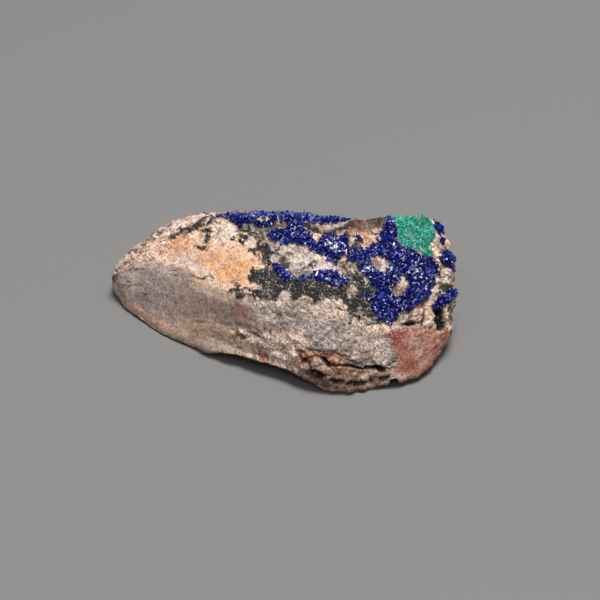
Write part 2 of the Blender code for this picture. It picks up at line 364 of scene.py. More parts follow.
azuriteAreas = {
    "azurite_crust": [
        patch([(217, 211.5), (226, 212.5), (236, 213)], 4),
        patch([(222, 213), (226, 204), (262, 198), (300, 200), (335, 202), (354, 204), (354, 218),
               (348, 221), (325, 222), (313, 222.5), (303, 222), (297, 224), (290, 223), (280, 222.5),
               (274, 222), (270, 217.5), (262, 217.5), (254, 219), (248, 222.5), (243, 225.5), (237, 225),
               (231, 220.5), (226, 216.5), (220, 214.5)]),
        patch([(252, 223), (262, 224.5), (274, 224)], 4.5),
        patch([(204, 211), (208, 212.5)], 3),
        patch([(343, 255), (350, 252), (358, 251)], 6),
        patch([(357, 237), (361, 241)], 4),
        patch([(267, 236), (270, 231.5), (277, 230), (286, 230.5), (289, 226), (293, 221), (300, 221),
               (304, 229), (309, 233), (312, 238), (316, 241), (321, 240), (325, 236), (331, 235),
               (340, 237), (346, 235), (349, 240), (349, 255), (340, 257), (336, 260), (337, 268),
               (334, 268), (330, 264), (327, 258), (322, 255), (316, 254), (309, 251), (305, 247),
               (297, 243), (284, 244), (276, 242), (269, 240)]),
        patch([(346, 262), (347, 257), (355, 255), (361, 251), (368, 249), (371, 244), (378, 240),
               (377, 233), (384, 229), (385, 222), (390, 214), (393, 219), (393, 226), (397, 230),
               (395, 237), (399, 243), (404, 246), (409, 249), (414, 250), (418, 254), (423, 257),
               (431, 258), (434, 263), (440, 273), (438, 275), (434, 272), (432, 276), (435, 281),
               (434, 286), (430, 288), (431, 296), (428, 300), (421, 301), (417, 305), (413, 306),
               (411, 310), (404, 313), (400, 312), (396, 320), (390, 323), (382, 321), (378, 316),
               (372, 309), (371, 303), (364, 299), (361, 295), (363, 293), (370, 294), (375, 297),
               (377, 291), (380, 287), (374, 286), (368, 280), (361, 271), (356, 266), (359, 263),
               (364, 265), (368, 264), (368, 259), (362, 260), (352, 262)]),
    ],
    "azurite_front_cluster": [
        patch([(299, 279), (305, 279), (313, 276.5)], 6),
        patch([(298, 278), (301, 276), (305, 279), (309, 276), (314, 273), (320, 272), (328, 273),
               (333, 272), (335, 270), (338, 272), (338, 276), (342, 278), (346, 276), (350, 279),
               (347, 283), (343, 285), (341, 288), (335, 290), (331, 287), (325, 284.5), (320, 280.5),
               (312, 279), (307, 282), (302, 281)]),
    ],
    "azurite_streak": [
        patch([(273, 264), (277, 263.5), (280, 267), (284, 270), (289, 273), (291, 276), (288, 279),
               (283, 278), (280, 273), (276, 270)]),
    ],
    "azurite_knob": [
        patch([(434, 224.5), (436, 223), (439, 224), (441, 230), (440, 232.5), (437, 231), (435, 228)]),
        patch([(439, 239), (441, 242)], 2),
    ],
    "azurite_blade": [
        patch([(441, 258), (444, 256), (450, 255), (455, 259), (459, 268), (455, 270.5), (449, 266),
               (446, 262), (442, 261)]),
        patch([(440, 253), (444, 254)], 3),
    ],
    "azurite_lower_cluster": [
        patch([(437, 299), (440, 294.5), (445, 294), (449, 297), (449, 302), (445, 305), (441, 308),
               (437, 310), (433, 308), (434, 304), (438, 303)]),
        patch([(450, 292), (456, 294)], 4),
    ],
}
azuriteWindows = [
    patch([(368, 258.5), (376, 256.5), (385, 257), (389.5, 263), (387, 269), (384, 276), (378, 271),
           (372, 266)]),
    patch([(400, 272.5), (404, 277), (408.5, 282), (406, 288), (403, 293), (400, 298.5), (395.5, 296),
           (393.5, 290), (395, 284), (399, 281)]),
    patch([(397, 301), (397, 307)], 2.5),
    patch([(402, 247), (406, 248)], 3),
]
malachiteAreas = {
    "malachite_tuft": [
        patch([(390, 217), (392, 209), (410, 206), (425, 208), (428, 217), (434, 226), (434, 234),
               (434, 240), (432, 243), (430, 246), (428, 248), (431, 252), (432, 256), (428, 257),
               (423, 256.5), (420, 252), (415, 250), (409, 249.5), (404, 246.5), (400, 244), (396, 238),
               (398, 231), (394, 227), (393, 220)]),
    ],
}
oxideWindows = [
    patch([(344, 287), (350, 284), (356, 287), (358, 292), (353, 298), (347, 299), (344, 294)]),
    patch([(283, 292), (287, 291), (290, 296), (288, 301), (283, 300)]),
    patch([(246, 291), (249, 294)], 2.5),
    patch([(246, 283), (254, 284), (263, 286), (262, 289.5), (252, 288), (247, 287)]),
]
oxideAreas = {
    "oxide_crust_front": [
        patch([(251, 268), (253, 266), (256, 270), (262, 270), (269, 268), (276, 270), (283, 276),
               (288, 278), (293, 275), (300, 278), (306, 281), (314, 279.5), (322, 283), (330, 288),
               (338, 290), (346, 288), (350, 282), (352, 276), (357, 274), (362, 278), (367, 283),
               (375, 286), (377, 290), (370, 293), (361, 294), (363, 301), (371, 308), (378, 317),
               (385, 321), (380, 323), (368, 319), (357, 318), (350, 313), (346, 305), (340, 299),
               (330, 300), (320, 301), (312, 299), (308, 297), (302, 299), (293, 298), (290, 293),
               (282, 292), (280, 300), (275, 301), (268, 299), (262, 299), (258, 294), (252, 288),
               (250, 278)]),
        patch([(233, 291), (240, 290.5), (247, 289.5), (254, 290.5), (262, 291.5)], 4),
        patch([(231, 285), (234, 281), (238, 280)], 1.8),
        patch([(236, 283), (238, 288), (241, 293)], 2),
        patch([(237, 294), (240, 297)], 2),
        patch([(251, 295), (254, 296)], 3.5),
    ],
    "oxide_crust_left": [
        patch([(172, 237), (178, 235)], 4.5),
        patch([(183, 232), (188, 230)], 6),
        patch([(190, 229), (199, 225)], 7.5),
        patch([(199, 224), (207, 220), (213, 217)], 7),
        patch([(203, 231), (210, 231)], 4),
        patch([(207, 233), (207, 239), (205, 243)], 3.5),
        patch([(198, 247), (204, 247)], 5),
    ],
    "oxide_patch_left": [
        patch([(230, 240), (234, 234), (240, 232), (247, 235), (249, 240), (244, 244), (236, 243)]),
    ],
    "oxide_patch_upper": [
        patch([(255, 246), (259, 243), (267, 243.5), (272, 246.5), (278, 249), (278, 253), (273, 254.5),
               (271, 259), (272, 263), (268, 268), (264, 264), (263, 257), (259, 252)]),
        patch([(250, 250), (253, 251)], 4),
        patch([(266, 256), (267, 270)], 4),
        patch([(253, 231), (263, 239)], 2),
    ],
}

rockNoise = {
    # mm across, seed, octaves
    "middling": (1.5, 21, 2),
    "fine": (0.5, 31, 2),
    "crest": (3.5, 25, 3),
    "gaps": (1.4, 37, 2),
    "holes": (0.9, 35, 2),
    "stray": (1.6, 41, 2),
    "fineStray": (0.6, 51, 2),
    "spots": (0.8, 61, 3),
    "flecks": (0.55, 63, 3),
    "broadFlecks": (1.7, 68, 2),
    "tan": (9.0, 81, 3),
    "mottles": (3.0, 71, 3),
    "pale": (1.8, 73, 2),
    "speckles": (0.9, 75, 2),
    "fineSpeckles": (0.42, 76, 1),
    "pores": (0.5, 77, 2),
    "broadPores": (2.5, 78, 1),
    "swell": (1.5, 210, 2),
}
crusts = {
    "seen": (-0.12, 0.03),  # cosine towards the camera where a point starts to be seen, and where it is
    "wander": (0.5, 0.7),  # how much the middling and the fine noise make edges stray
    # pixels that each edge wanders and softens
    "azuriteEdge": (3.0, 0.6),
    "azuriteWindowEdge": (1.0, 0.8),
    "malachiteEdge": (1.5, 0.8),
    "oxideEdge": (4.0, 0.8),
    "oxideWindowEdge": (3.0, 0.8),
    # what goes on over the crest: from and to, in mm along the rock, and mm down its back
    "azuriteOver": [(-6.5, 13.5, 2.6), (20.0, 30.5, 3.4)],
    "malachiteOver": (21.0, 28.6, 2.0),
    "overEnds": (3.0, 1.2, 0.8),  # mm that two noises make its ends stray, and that they fade over
    "overFoot": (1.6, 0.8, 0.5),  # the same for its lower edge
    "crestStray": 1.4,  # mm that noise makes the crest stray, from which the way down the back is measured
    "azuriteGaps": (-0.9, -0.76),  # noise below which the azurite is missing, and above which it is whole
    # noise below which the oxide is missing, and how much more of it is, between two columns
    "oxideHoles": {"oxide_crust_front": -0.55, "oxide_crust_left": -0.4, "oxide_patch_upper": -0.25,
                   "oxide_patch_left": -0.1},
    "oxideThinning": (0.12, 338, 356),
    "oxideFade": (-0.12, 0.1),
}


# The named noise at each point of the rock.
def noise(name):
    return cloud(base, *rockNoise[name])


# The rock's points bent by noise, by up to reach mm each way.
def bent(reach, size, seed, octaves):
    return base + reach * np.stack([cloud(base, size, seed + k, octaves) for k in range(3)], axis=-1)


spots = toPixels(base)
towards = cameraAxes()[0] - base
towards /= np.linalg.norm(towards, axis=1, keepdims=True)
seen = smoothStep(*crusts["seen"], (normals * towards).sum(-1))  # the side that the outlines speak of
ringZ = base[:-2, 2].reshape(rock["rings"], rock["around"])
crestZ = np.append(np.repeat(ringZ.max(1), rock["around"]), [0.0, 0.0])
middling, fine = noise("middling"), noise("fine")
wander = crusts["wander"][0] * middling + crusts["wander"][1] * fine
behind = base[:, 1] > 0
drop = crestZ - base[:, 2] + crusts["crestStray"] * noise("crest")
drop = drop * behind + 99 * ~behind  # mm down the back, 99 in front


# A crust that goes on over the crest, between two places along the rock, down to a ragged edge.
def overCrest(start, end, reach):
    broad, small, fade = crusts["overEnds"]
    x = base[:, 0] + broad * middling + small * fine
    across = smoothStep(start - fade, start + fade, x) * smoothStep(end + fade, end - fade, x)
    broad, small, fade = crusts["overFoot"]
    down = drop + broad * middling + small * fine
    return (1 - seen) * across * smoothStep(reach + fade, reach - fade, down)


# How far each point is covered by the shapes, from 0 to 1, with edges that wander by that many pixels.
def cover(shapes, roughness, softness):
    depth = np.full(len(base), -99.0)
    for shape in shapes:
        depth = np.maximum(depth, edgeDepth(spots, shape))
    return smoothStep(-softness, softness, depth + roughness * wander) * seen


whole = 1 - cover(azuriteWindows, *crusts["azuriteWindowEdge"])
gaps = smoothStep(*crusts["azuriteGaps"], noise("gaps") + 0.4 * fine)
azurite = {node: cover(shapes, *crusts["azuriteEdge"]) * whole * gaps
           for node, shapes in azuriteAreas.items()}
for reach in crusts["azuriteOver"]:
    azurite["azurite_crust"] = np.maximum(azurite["azurite_crust"], overCrest(*reach))
malachite = np.maximum(cover(malachiteAreas["malachite_tuft"], *crusts["malachiteEdge"]),
                       overCrest(*crusts["malachiteOver"]))
azuriteAll = np.maximum.reduce(list(azurite.values())) * (1 - malachite)
thinning, thinFrom, thinTo = crusts["oxideThinning"]
holed = noise("holes") + 0.3 * fine - thinning * smoothStep(thinFrom, thinTo, spots[:, 0])
inlay = 1 - cover(oxideWindows, *crusts["oxideWindowEdge"])
oxide = {node: cover(shapes, *crusts["oxideEdge"]) * inlay
         * smoothStep(*crusts["oxideFade"], holed - crusts["oxideHoles"][node])
         for node, shapes in oxideAreas.items()}
oxideAll = np.maximum.reduce(list(oxide.values())) * (1 - azuriteAll) * (1 - malachite)
print("minerals placed")


# A stain or tint over the rock: its colour, how far in pixels its edge fades and strays, how strong it is,
# its points, and how far it is broken into spots (patchy) and specks (fleck), from 0 to 1.
def stain(colour, soft, wander, cover, points, width=None, **breaks):
    return patch(points, width, colour=colour, soft=soft, wander=wander, cover=cover, **breaks)


creamPatch = [(266, 246), (296, 246), (322, 256), (334, 266), (334, 276), (318, 276), (300, 272),
              (272, 264)]
pinkFront = [(226, 326), (262, 326), (300, 334), (312, 346), (296, 372), (262, 364), (236, 352)]
# The stains are laid one on another from first to last.
rockPaint = {
    "buried": "#8d7b70",  # the sides that lie away from the camera
    "buriedTan": "#a38a72",
    "crestBack": "#b99a80",
    "tip": "#c6b3a6",
    "roof": "#dfb697",
    # painted shade: the colours that darken the hollows and cracks, and the pits
    "hollow": "#3a2318",
    "pit": "#46392f",
    "underOxide": "#1c1a19",
    "underAzurite": "#060a4e",
    "underMalachite": "#14614a",
    "paleMottle": "#efdbd0",
    "brownMottle": "#ae937e",
    "tanFrom": (-0.3, 0.5),  # noise where the tan starts, and where it is whole
    "crestFrom": (7.0, 2.0),  # the same for the crest's colour, in mm down the back
    "tipFrom": (-31.5, -34.5),  # and for the tip's, in mm along the rock
    "strays": (0.55, 0.6),  # how much each noise makes the stains' edges stray
    "patchy": (0.75, 0.15),  # how strong the spots' noise is, and how softly it breaks a stain
    "fleck": (0.6, 0.35, 0.1),  # the same for the specks' two noises
    "fleckBend": (0.45, 0.8, 64, 2),  # mm, then the noise that bends the specks
    "mottling": 0.5,  # how strong the pale and brown mottles are
    "brightFrom": (0.06, 0.3),  # how bright the rock is where it starts to have pale ones
    "paleFrom": (0.08, 0.32),
    "speckles": (0.7, 0.5),  # how strong the two noises are, and where the pale and the brown ones start
    "speckFrom": (0.14, 0.36),
    "brownFrom": (-0.16, -0.5),
    "poreFrom": (0.36, 0.48),
    "pores": (2.2, 0.75),  # how dark, as a power of the brown, and how strong
    "jointFrom": (0.1, 0.5),  # how broken the rock is where its joints start to show
    "joints": (3.0, 0.6),
    "shading": 0.10,  # the broad light and dark over it all
    "frontBase": "#8f7c73",
    "frontGain": 1.17,  # the steep front gets less light, and is paler by this much
    "steepFrom": (-3.5, 2.5),  # pixels into the front where it starts to count as steep, and where it does
    "endFrom": (428, 444),  # the same for the blunt end, in columns
    "front": [(117, 300), (114.5, 286), (115, 277), (121, 267), (133, 263.5), (144, 264.5), (155, 263.5),
              (169, 266), (181, 266), (190, 273), (195, 281), (203, 288), (213, 293), (223, 299.5),
              (238, 301.5), (253, 303), (270, 303), (280, 295.5), (291, 297), (297, 298.5), (310, 298.5),
              (318, 302), (327, 303.5), (336, 303.5), (344, 311), (349, 319), (357, 324), (369, 327),
              (382, 327), (395, 327), (410, 326), (424, 327), (434, 326), (440, 331), (450, 330),
              (470, 334), (470, 420), (120, 420)],
    "stains": [
        # the roof, from the left tip
        stain("#efc7ab", 8, 6, 0.45, [(118, 264), (138, 236), (165, 220), (204, 210), (206, 224),
              (184, 246), (150, 262)]),
        stain("#c8ab95", 5, 5, 0.85, [(108, 280), (110, 264), (131, 247), (147, 231), (164, 219),
              (186, 213), (204, 211), (206, 217), (190, 220), (172, 231), (158, 242), (146, 251),
              (134, 260), (122, 268)]),
        stain("#5c4a3b", 1.5, 4, 0.85, [(118, 267), (131, 254), (147, 240), (160, 231), (176, 224)],
              width=7, patchy=0.4, fleck=0.36),
        stain("#5c4a3b", 1.5, 4, 0.85, [(139, 252), (146, 242), (158, 235), (170, 230)], width=6,
              patchy=0.4, fleck=0.36),
        stain("#6d5647", 2, 3, 0.75, [(174, 224), (184, 220), (192, 222)], width=6, patchy=0.45),
        stain("#7a6450", 2, 3, 0.7, [(140, 262), (149, 259)], width=5, patchy=0.5),
        stain("#493c33", 2, 4, 0.85, [(172, 237), (184, 232), (196, 227), (206, 221), (214, 217)], width=7,
              patchy=0.1, fleck=0.36),
        stain("#5b4d43", 1.5, 4, 0.8, [(208, 226), (208, 238), (204, 244), (199, 249)], width=4.5,
              patchy=0.3),
        stain("#dcb7a2", 4, 4, 0.9, [(126, 259), (138, 250), (152, 245), (160, 248), (156, 258), (145, 262),
              (130, 264)]),
        stain("#d9b5a4", 3, 3, 0.8, [(190, 217), (204, 214), (214, 214), (214, 220), (204, 220), (194, 224),
              (180, 231), (168, 236), (160, 238), (170, 228)]),
        stain("#d9a074", 5, 5, 0.9, [(157, 247), (163, 241), (171, 242), (174, 250), (170, 258),
              (160, 259)]),
        stain("#dba06e", 4, 4, 0.9, [(170, 240), (176, 235), (186, 237), (192, 243), (192, 255), (182, 257),
              (173, 251)]),
        stain("#e3ab7c", 6, 6, 1.0, [(192, 248), (204, 247), (216, 248), (228, 250), (242, 247), (253, 256),
              (252, 272), (246, 281), (232, 288), (218, 281), (208, 270), (198, 262)]),
        stain("#dd9f68", 5, 6, 0.7, [(216, 254), (232, 256), (240, 264), (234, 276), (222, 276),
              (213, 264)]),
        stain("#ead0c2", 3, 4, 0.9, [(178, 259), (190, 258), (198, 262), (204, 268), (198, 272), (186, 268),
              (176, 266)]),
        stain("#e3c8b4", 3, 4, 0.8, [(196, 276), (208, 268), (216, 276), (214, 286), (204, 284)]),
        stain("#decabb", 4, 4, 0.95, [(212, 228), (220, 221), (232, 222), (238, 229), (236, 237),
              (226, 242), (214, 242)]),
        stain("#dcbda8", 4, 4, 0.8, [(240, 236), (252, 234), (258, 242), (258, 252), (250, 256),
              (242, 248)]),
        stain("#e6b48c", 4, 4, 0.8, [(236, 246), (248, 245), (254, 256), (250, 264), (240, 258)]),
        stain("#4a3c2e", 2, 3, 0.97, [(215, 213), (228, 212), (238, 217), (246, 226), (242, 231),
              (234, 226), (226, 221), (217, 219)], patchy=0.05),
        stain("#c3ad98", 1.5, 3, 0.7, [(215, 213), (228, 212), (240, 218), (244, 226), (234, 224),
              (220, 219)], patchy=0.6),
        stain("#a58b76", 2, 3, 0.7, [(214, 216), (208, 222), (204, 229)], width=6, patchy=0.4),
        stain("#2b2621", 1.2, 4, 0.97, [(238, 223), (247, 226), (255, 230)], width=6.5, patchy=0.12),
        stain("#2b2621", 1.2, 3.5, 0.97, [(253, 229), (263, 239)], width=4.5, patchy=0.15),
        stain("#2f2720", 1.5, 3.5, 0.95, [(248, 225), (262, 227), (280, 226), (292, 225)], width=7,
              patchy=0.15),
        stain("#2a2624", 1.5, 3, 0.9, [(238, 227), (242, 232)], width=4, patchy=0.1),
        stain("#988c7f", 1.5, 4, 0.95, [(239, 224), (262, 222), (278, 224), (278, 230), (264, 236),
              (256, 238), (246, 234)]),
        stain("#1c1a18", 1.0, 6, 0.97, [(237, 223), (262, 222), (280, 224), (280, 230), (264, 234),
              (262, 240), (252, 236), (242, 232)], fleck=0.42),
        stain("#b98a63", 1.5, 1.5, 0.7, [(258, 221.5), (268, 221.5), (276, 219)], width=2),
        stain("#c3ae9c", 1.0, 2.5, 0.8, [(250, 231), (262, 229), (272, 229), (280, 231)], width=3,
              patchy=0.5),
        stain("#5d5146", 2, 2, 0.85, [(258, 226), (274, 225), (290, 227)], width=6, patchy=0.3),
        stain("#c9ad9a", 4, 4, 0.95, [(240, 290), (262, 286), (300, 286), (330, 292), (350, 306),
              (372, 320), (410, 322), (440, 325), (440, 332), (360, 330), (330, 306), (290, 302),
              (236, 302)]),
        stain("#a08a78", 6, 5, 1.0, [(332, 250), (372, 250), (420, 240), (446, 250), (470, 290), (470, 322),
              (400, 322), (368, 318), (348, 300), (336, 280)]),
        stain("#3c322a", 4, 6, 0.92, [(346, 272), (360, 268), (374, 276), (380, 290), (376, 302),
              (364, 300), (352, 290), (344, 282)], patchy=0.2, fleck=0.38),
        stain("#4a3d32", 3, 5, 0.85, [(338, 256), (362, 256), (372, 270), (360, 280), (344, 276)],
              patchy=0.35, fleck=0.4),
        stain("#d9c6b6", 4, 6, 0.85, [(338, 256), (372, 256), (380, 276), (378, 300), (366, 312),
              (350, 298), (340, 276)], patchy=0.66),
        stain("#5c5d57", 3, 5, 0.92, [(352, 300), (364, 296), (376, 304), (384, 318), (380, 323),
              (364, 321), (354, 316), (349, 308)]),
        stain("#a9aca4", 2, 5, 0.85, [(354, 300), (366, 300), (378, 310), (382, 321), (364, 321),
              (354, 314)], patchy=0.6),
        # light and brown matrix inside the azurite
        stain("#b7aaa2", 3, 4, 1.0, [(266, 246), (276, 244), (296, 246), (308, 252), (322, 256), (334, 266),
              (334, 276), (318, 276), (300, 272), (286, 270), (272, 262)]),
        stain("#8a7d6c", 2, 5, 0.85, [(262, 230), (264, 238), (270, 245), (282, 248), (296, 247)], width=8,
              patchy=0.3),
        stain("#a3958a", 2, 4, 0.8, [(298, 249), (310, 256), (322, 260), (330, 268)], width=6, patchy=0.3),
        stain("#e0d3cd", 2.5, 3, 0.95, [(268, 252), (274, 248), (281, 252), (281, 260), (273, 262)]),
        stain("#d6c6bb", 3, 4, 0.9, [(290, 250), (302, 248), (314, 255), (318, 261), (306, 267), (294, 268),
              (288, 260)]),
        stain("#cdbfba", 3, 3, 0.9, [(312, 266), (322, 262), (334, 267), (334, 274), (320, 275)]),
        stain("#f0e4de", 2, 4, 0.8, creamPatch, patchy=0.55),
        stain("#6a5748", 2, 4, 0.75, creamPatch, fleck=0.72),
        stain("#8a7a6c", 2, 5, 0.85, [(272, 246), (284, 247), (290, 256), (292, 266), (284, 270),
              (276, 262)], patchy=0.4),
        stain("#34241c", 2.5, 7, 0.92, [(278, 256), (287, 254), (292, 264), (288, 272), (279, 269)],
              fleck=0.42),
        stain("#2e241e", 2.0, 6, 0.92, [(297, 266), (306, 262), (316, 259), (320, 262), (316, 268),
              (308, 273), (298, 274)], fleck=0.45),
        stain("#c5a891", 2.5, 3, 0.9, [(336, 260), (346, 256), (350, 262), (348, 270), (340, 276),
              (335, 272)]),
        stain("#d9a888", 2, 2, 0.8, [(335, 257), (344, 254), (347, 259), (338, 262)]),
        stain("#8c8178", 2, 3, 0.9, [(284, 268), (300, 268), (318, 273), (334, 284), (322, 290), (300, 286),
              (286, 283)]),
        stain("#7b6a58", 2.5, 3, 0.8, [(344, 264), (356, 262), (362, 270), (360, 280), (350, 280),
              (342, 276)], patchy=0.4),
        stain("#bda48c", 2, 3, 0.85, [(341, 286), (352, 284), (358, 290), (354, 298), (346, 296)]),
        stain("#e2d2bf", 3, 5, 0.8, [(338, 256), (352, 254), (368, 260), (378, 278), (376, 300), (360, 300),
              (344, 298), (338, 284)], patchy=0.66),
        stain("#2b231d", 3, 5, 0.9, [(338, 256), (352, 254), (368, 260), (378, 278), (376, 302), (360, 302),
              (344, 298), (338, 284)], fleck=0.6),
        # the strip along the crest
        stain("#8f7a70", 2.5, 3.5, 0.95, [(300, 224), (318, 222), (346, 220), (352, 222), (346, 230),
              (332, 233), (318, 232), (306, 228)]),
        stain("#b39c8f", 1.5, 3, 0.8, [(328, 222), (342, 221), (344, 226), (334, 228)], patchy=0.3),
        stain("#b9a497", 1.5, 4, 0.85, [(314, 222), (332, 221), (344, 223), (334, 229), (322, 228)],
              patchy=0.25),
        stain("#1e1a17", 1.2, 4, 0.95, [(302, 223), (310, 227.5), (318, 232), (324, 233)], width=5,
              patchy=0.2),
        stain("#1e1a17", 1.2, 4, 0.95, [(329, 233.5), (338, 230), (347, 226)], width=4.5, patchy=0.2),
        stain("#3a302a", 1.5, 5, 0.8, [(306, 221), (316, 224), (328, 226)], width=4, patchy=0.55),
        stain("#463b31", 2, 2, 0.9, [(346, 236), (350, 229), (358, 240), (356, 250)], width=5, patchy=0.3),
        stain("#3a332c", 2, 4, 0.92, [(345, 234), (352, 231), (360, 236), (361, 246), (355, 252),
              (348, 250)], fleck=0.38),
        stain("#b49c80", 2, 3, 0.8, [(348, 238), (356, 236), (360, 244), (354, 252), (349, 250)],
              patchy=0.55),
        stain("#ddb89c", 2, 2, 0.9, [(310, 236), (318, 233), (323, 236), (320, 240), (314, 241)]),
        stain("#6c5142", 3, 5, 0.95, [(350, 225), (358, 218), (374, 214), (390, 214), (388, 227),
              (372, 229), (358, 231), (350, 230)]),
        stain("#2c231d", 3, 5, 0.95, [(352, 219), (366, 214), (392, 214), (390, 228), (376, 224),
              (360, 224)], patchy=0.28, fleck=0.38),
        stain("#80604e", 1.5, 2.5, 0.7, [(352, 224), (368, 222), (380, 226), (368, 230), (354, 231)],
              patchy=0.4),
        stain("#b98760", 2.5, 3, 0.85, [(350, 229), (360, 229), (370, 232), (368, 238), (358, 236),
              (350, 234)]),
        stain("#cb9a7b", 2, 3, 0.9, [(361, 236), (370, 235), (372, 242), (369, 249), (363, 248)]),
        stain("#35261e", 2, 4, 0.85, [(340, 222), (378, 220), (376, 238), (358, 238), (342, 234)],
              fleck=0.62),
        # windows in the azurite field
        stain("#9a8670", 1.5, 2, 1.0, [(368, 259), (376, 257), (385, 258), (389, 263), (388, 269),
              (383, 276), (377, 272), (371, 267)]),
        stain("#dccabf", 1.2, 2.5, 0.85, [(379, 258), (384, 262), (383, 270)], width=4.5, patchy=0.2),
        stain("#d6c7b0", 1.5, 1.5, 1.0, [(399, 275), (404, 277), (408, 284), (402, 288), (395, 285)]),
        stain("#876f57", 1.5, 1.5, 1.0, [(394, 286), (406, 286), (402, 297), (396, 297)]),
        stain("#c98f5c", 1.5, 1.5, 0.95, [(400, 247), (406, 249)], width=4),
        stain("#dcc5bc", 1.2, 1.5, 0.95, [(364, 280), (370, 286), (375, 290)], width=4),
        stain("#e6ddd4", 1.2, 1.5, 0.95, [(397, 302), (398, 309)], width=4),
        # right end above the ridge
        stain("#b8a38e", 2.5, 3, 1.0, [(426, 245), (433, 234), (440, 238), (446, 250), (450, 262),
              (470, 270), (470, 330), (444, 332), (432, 316), (404, 326), (404, 310), (428, 300),
              (434, 276)]),
        stain("#dfb69c", 1.5, 1.5, 0.9, [(437, 232), (442, 241)], width=5),
        stain("#e0cdb4", 1.5, 1.5, 0.95, [(430, 217), (436, 219)], width=7),
        stain("#4b6a5c", 1.5, 3, 0.5, [(375, 215), (391, 215)], width=5, patchy=0.45),
        stain("#e3c8b0", 1.5, 2, 0.85, [(431, 247), (436, 254), (441, 262)], width=6, patchy=0.3),
        stain("#efe3d6", 1.5, 2.5, 0.95, [(433, 271), (441, 270), (443, 277), (438, 284), (431, 280)]),
        stain("#6a5a49", 1.0, 2.5, 0.8, [(438, 262), (441, 270), (439, 280), (440, 290)], width=2.5,
              patchy=0.35),
        stain("#c5b39c", 2, 2.5, 0.9, [(440, 271), (447, 270), (453, 276), (450, 284), (442, 282)]),
        stain("#4d4234", 1.5, 3, 0.92, [(446, 263), (453, 266), (454, 274), (449, 272), (444, 268)],
              patchy=0.15),
        stain("#2f291f", 1.5, 3, 0.95, [(439, 285), (446, 283), (453, 286), (452, 295), (444, 295)],
              patchy=0.15),
        stain("#d4bfae", 1.5, 2, 0.9, [(432, 284), (439, 286), (439, 292), (432, 292)]),
        stain("#454450", 1.5, 3, 0.9, [(448, 289), (460, 289), (460, 302), (450, 302)], patchy=0.2),
        stain("#cdb497", 1.5, 2, 0.9, [(447, 300), (453, 300), (454, 314), (448, 314)], patchy=0.15),
        stain("#cfa590", 2, 2, 0.9, [(412, 306), (422, 302), (434, 304), (437, 314), (438, 328), (420, 326),
              (408, 320)]),
        stain("#edcdb8", 1.2, 2, 0.85, [(414, 308), (416, 322)], width=4),
        stain("#edcdb8", 1.2, 2, 0.85, [(430, 306), (431, 324)], width=4),
        stain("#3a2f28", 1.2, 2, 0.92, [(423, 302), (424, 312), (422, 324)], width=3.5, patchy=0.2),
        stain("#3a2f28", 1.2, 2, 0.85, [(410, 306), (411, 314), (408, 320)], width=3, patchy=0.3),
        stain("#2b211c", 1.2, 2, 0.9, [(403, 325), (411, 321), (417, 324)], width=4.5, patchy=0.2),
        stain("#e8c9ac", 1.5, 2, 0.9, [(447, 306), (448, 328)], width=4),
        # painted shade: the deep slot in the blunt end painted near black
        stain("#070505", 0.8, 2, 1.0, [(436, 307), (443, 308.5), (445.5, 316), (444, 331), (438, 331.5),
              (436.5, 320)]),
        stain("#3a3029", 1.5, 2, 0.8, [(451, 306), (451, 320)], width=3, patchy=0.3),
        stain("#c2a898", 2.5, 5, 0.7, [(124, 265), (136, 262), (150, 262)], width=5),
        stain("#6f5f4c", 1.0, 3, 0.8, [(122, 262), (136, 257), (150, 259)], width=5, patchy=0.7),
        stain("#c9b5a6", 1.5, 2, 0.9, [(124, 257), (116, 266), (111.5, 276), (112, 286)], width=6),
        # brown rim where roof meets front on the left
        stain("#8a6e60", 2.5, 4, 0.5, [(150, 266), (170, 268), (184, 269), (192, 276), (200, 284)], width=5,
              patchy=0.4),
        stain("#8e5f3a", 1.2, 1.5, 0.9, [(191, 274), (196, 278), (202, 279), (207, 276), (212, 277)],
              width=2.2),
        stain("#e0a683", 2, 2, 0.9, [(194, 281), (202, 284), (210, 287)], width=5),
    ],
    "frontStains": [
        stain("#d4baa8", 3, 6, 0.95, [(196, 285), (212, 293), (226, 299), (240, 301), (256, 302),
              (272, 301), (282, 297)], width=12, patchy=0.25),
        stain("#a87f62", 2.5, 4, 0.5, [(150, 267), (172, 269), (190, 276), (202, 288)], width=5,
              patchy=0.5),
        stain("#efdccf", 2, 3, 0.9, [(118, 262), (112.5, 271), (111, 281), (113, 292)], width=7),
        stain("#9c877c", 4, 4, 0.4, [(120, 273), (134, 270), (152, 270), (170, 273), (186, 281),
              (200, 291)], width=10),
        stain("#887874", 8, 5, 0.5, [(124, 278), (160, 276), (186, 284), (170, 300), (140, 302),
              (122, 296)]),
        stain("#a59389", 4, 3, 0.8, [(110, 276), (124, 269), (137, 272), (140, 288), (130, 300),
              (114, 292)]),
        stain("#8b7365", 6, 5, 0.8, [(176, 294), (206, 292), (240, 304), (250, 322), (226, 322), (196, 318),
              (176, 308)]),
        stain("#7c6a60", 6, 5, 0.6, [(210, 306), (240, 304), (256, 318), (248, 327), (222, 322),
              (204, 316)]),
        stain("#8f9095", 1.5, 3, 0.4, [(150, 292), (162, 288), (170, 281)], width=2.5, patchy=0.3),
        stain("#8f9095", 1.5, 3, 0.35, [(140, 300), (152, 297), (166, 292)], width=2.5, patchy=0.3),
        stain("#b08a66", 3, 4, 0.7, [(118, 296), (128, 300), (142, 308), (140, 316), (124, 306)]),
        stain("#b08670", 4, 4, 0.6, [(126, 305), (148, 317), (170, 328)], width=8),
        stain("#b39680", 4.5, 4, 0.9, [(176, 318), (196, 323), (218, 323), (240, 328), (254, 329),
              (268, 324), (280, 328), (272, 344), (262, 356), (240, 358), (212, 356), (190, 344),
              (168, 332)]),
        stain("#918270", 5, 5, 0.7, [(206, 338), (226, 340), (240, 346), (240, 358), (212, 356),
              (198, 346)]),
        stain("#a98a72", 3, 4, 0.6, [(188, 322), (214, 326), (238, 331), (236, 340), (214, 336),
              (194, 332)]),
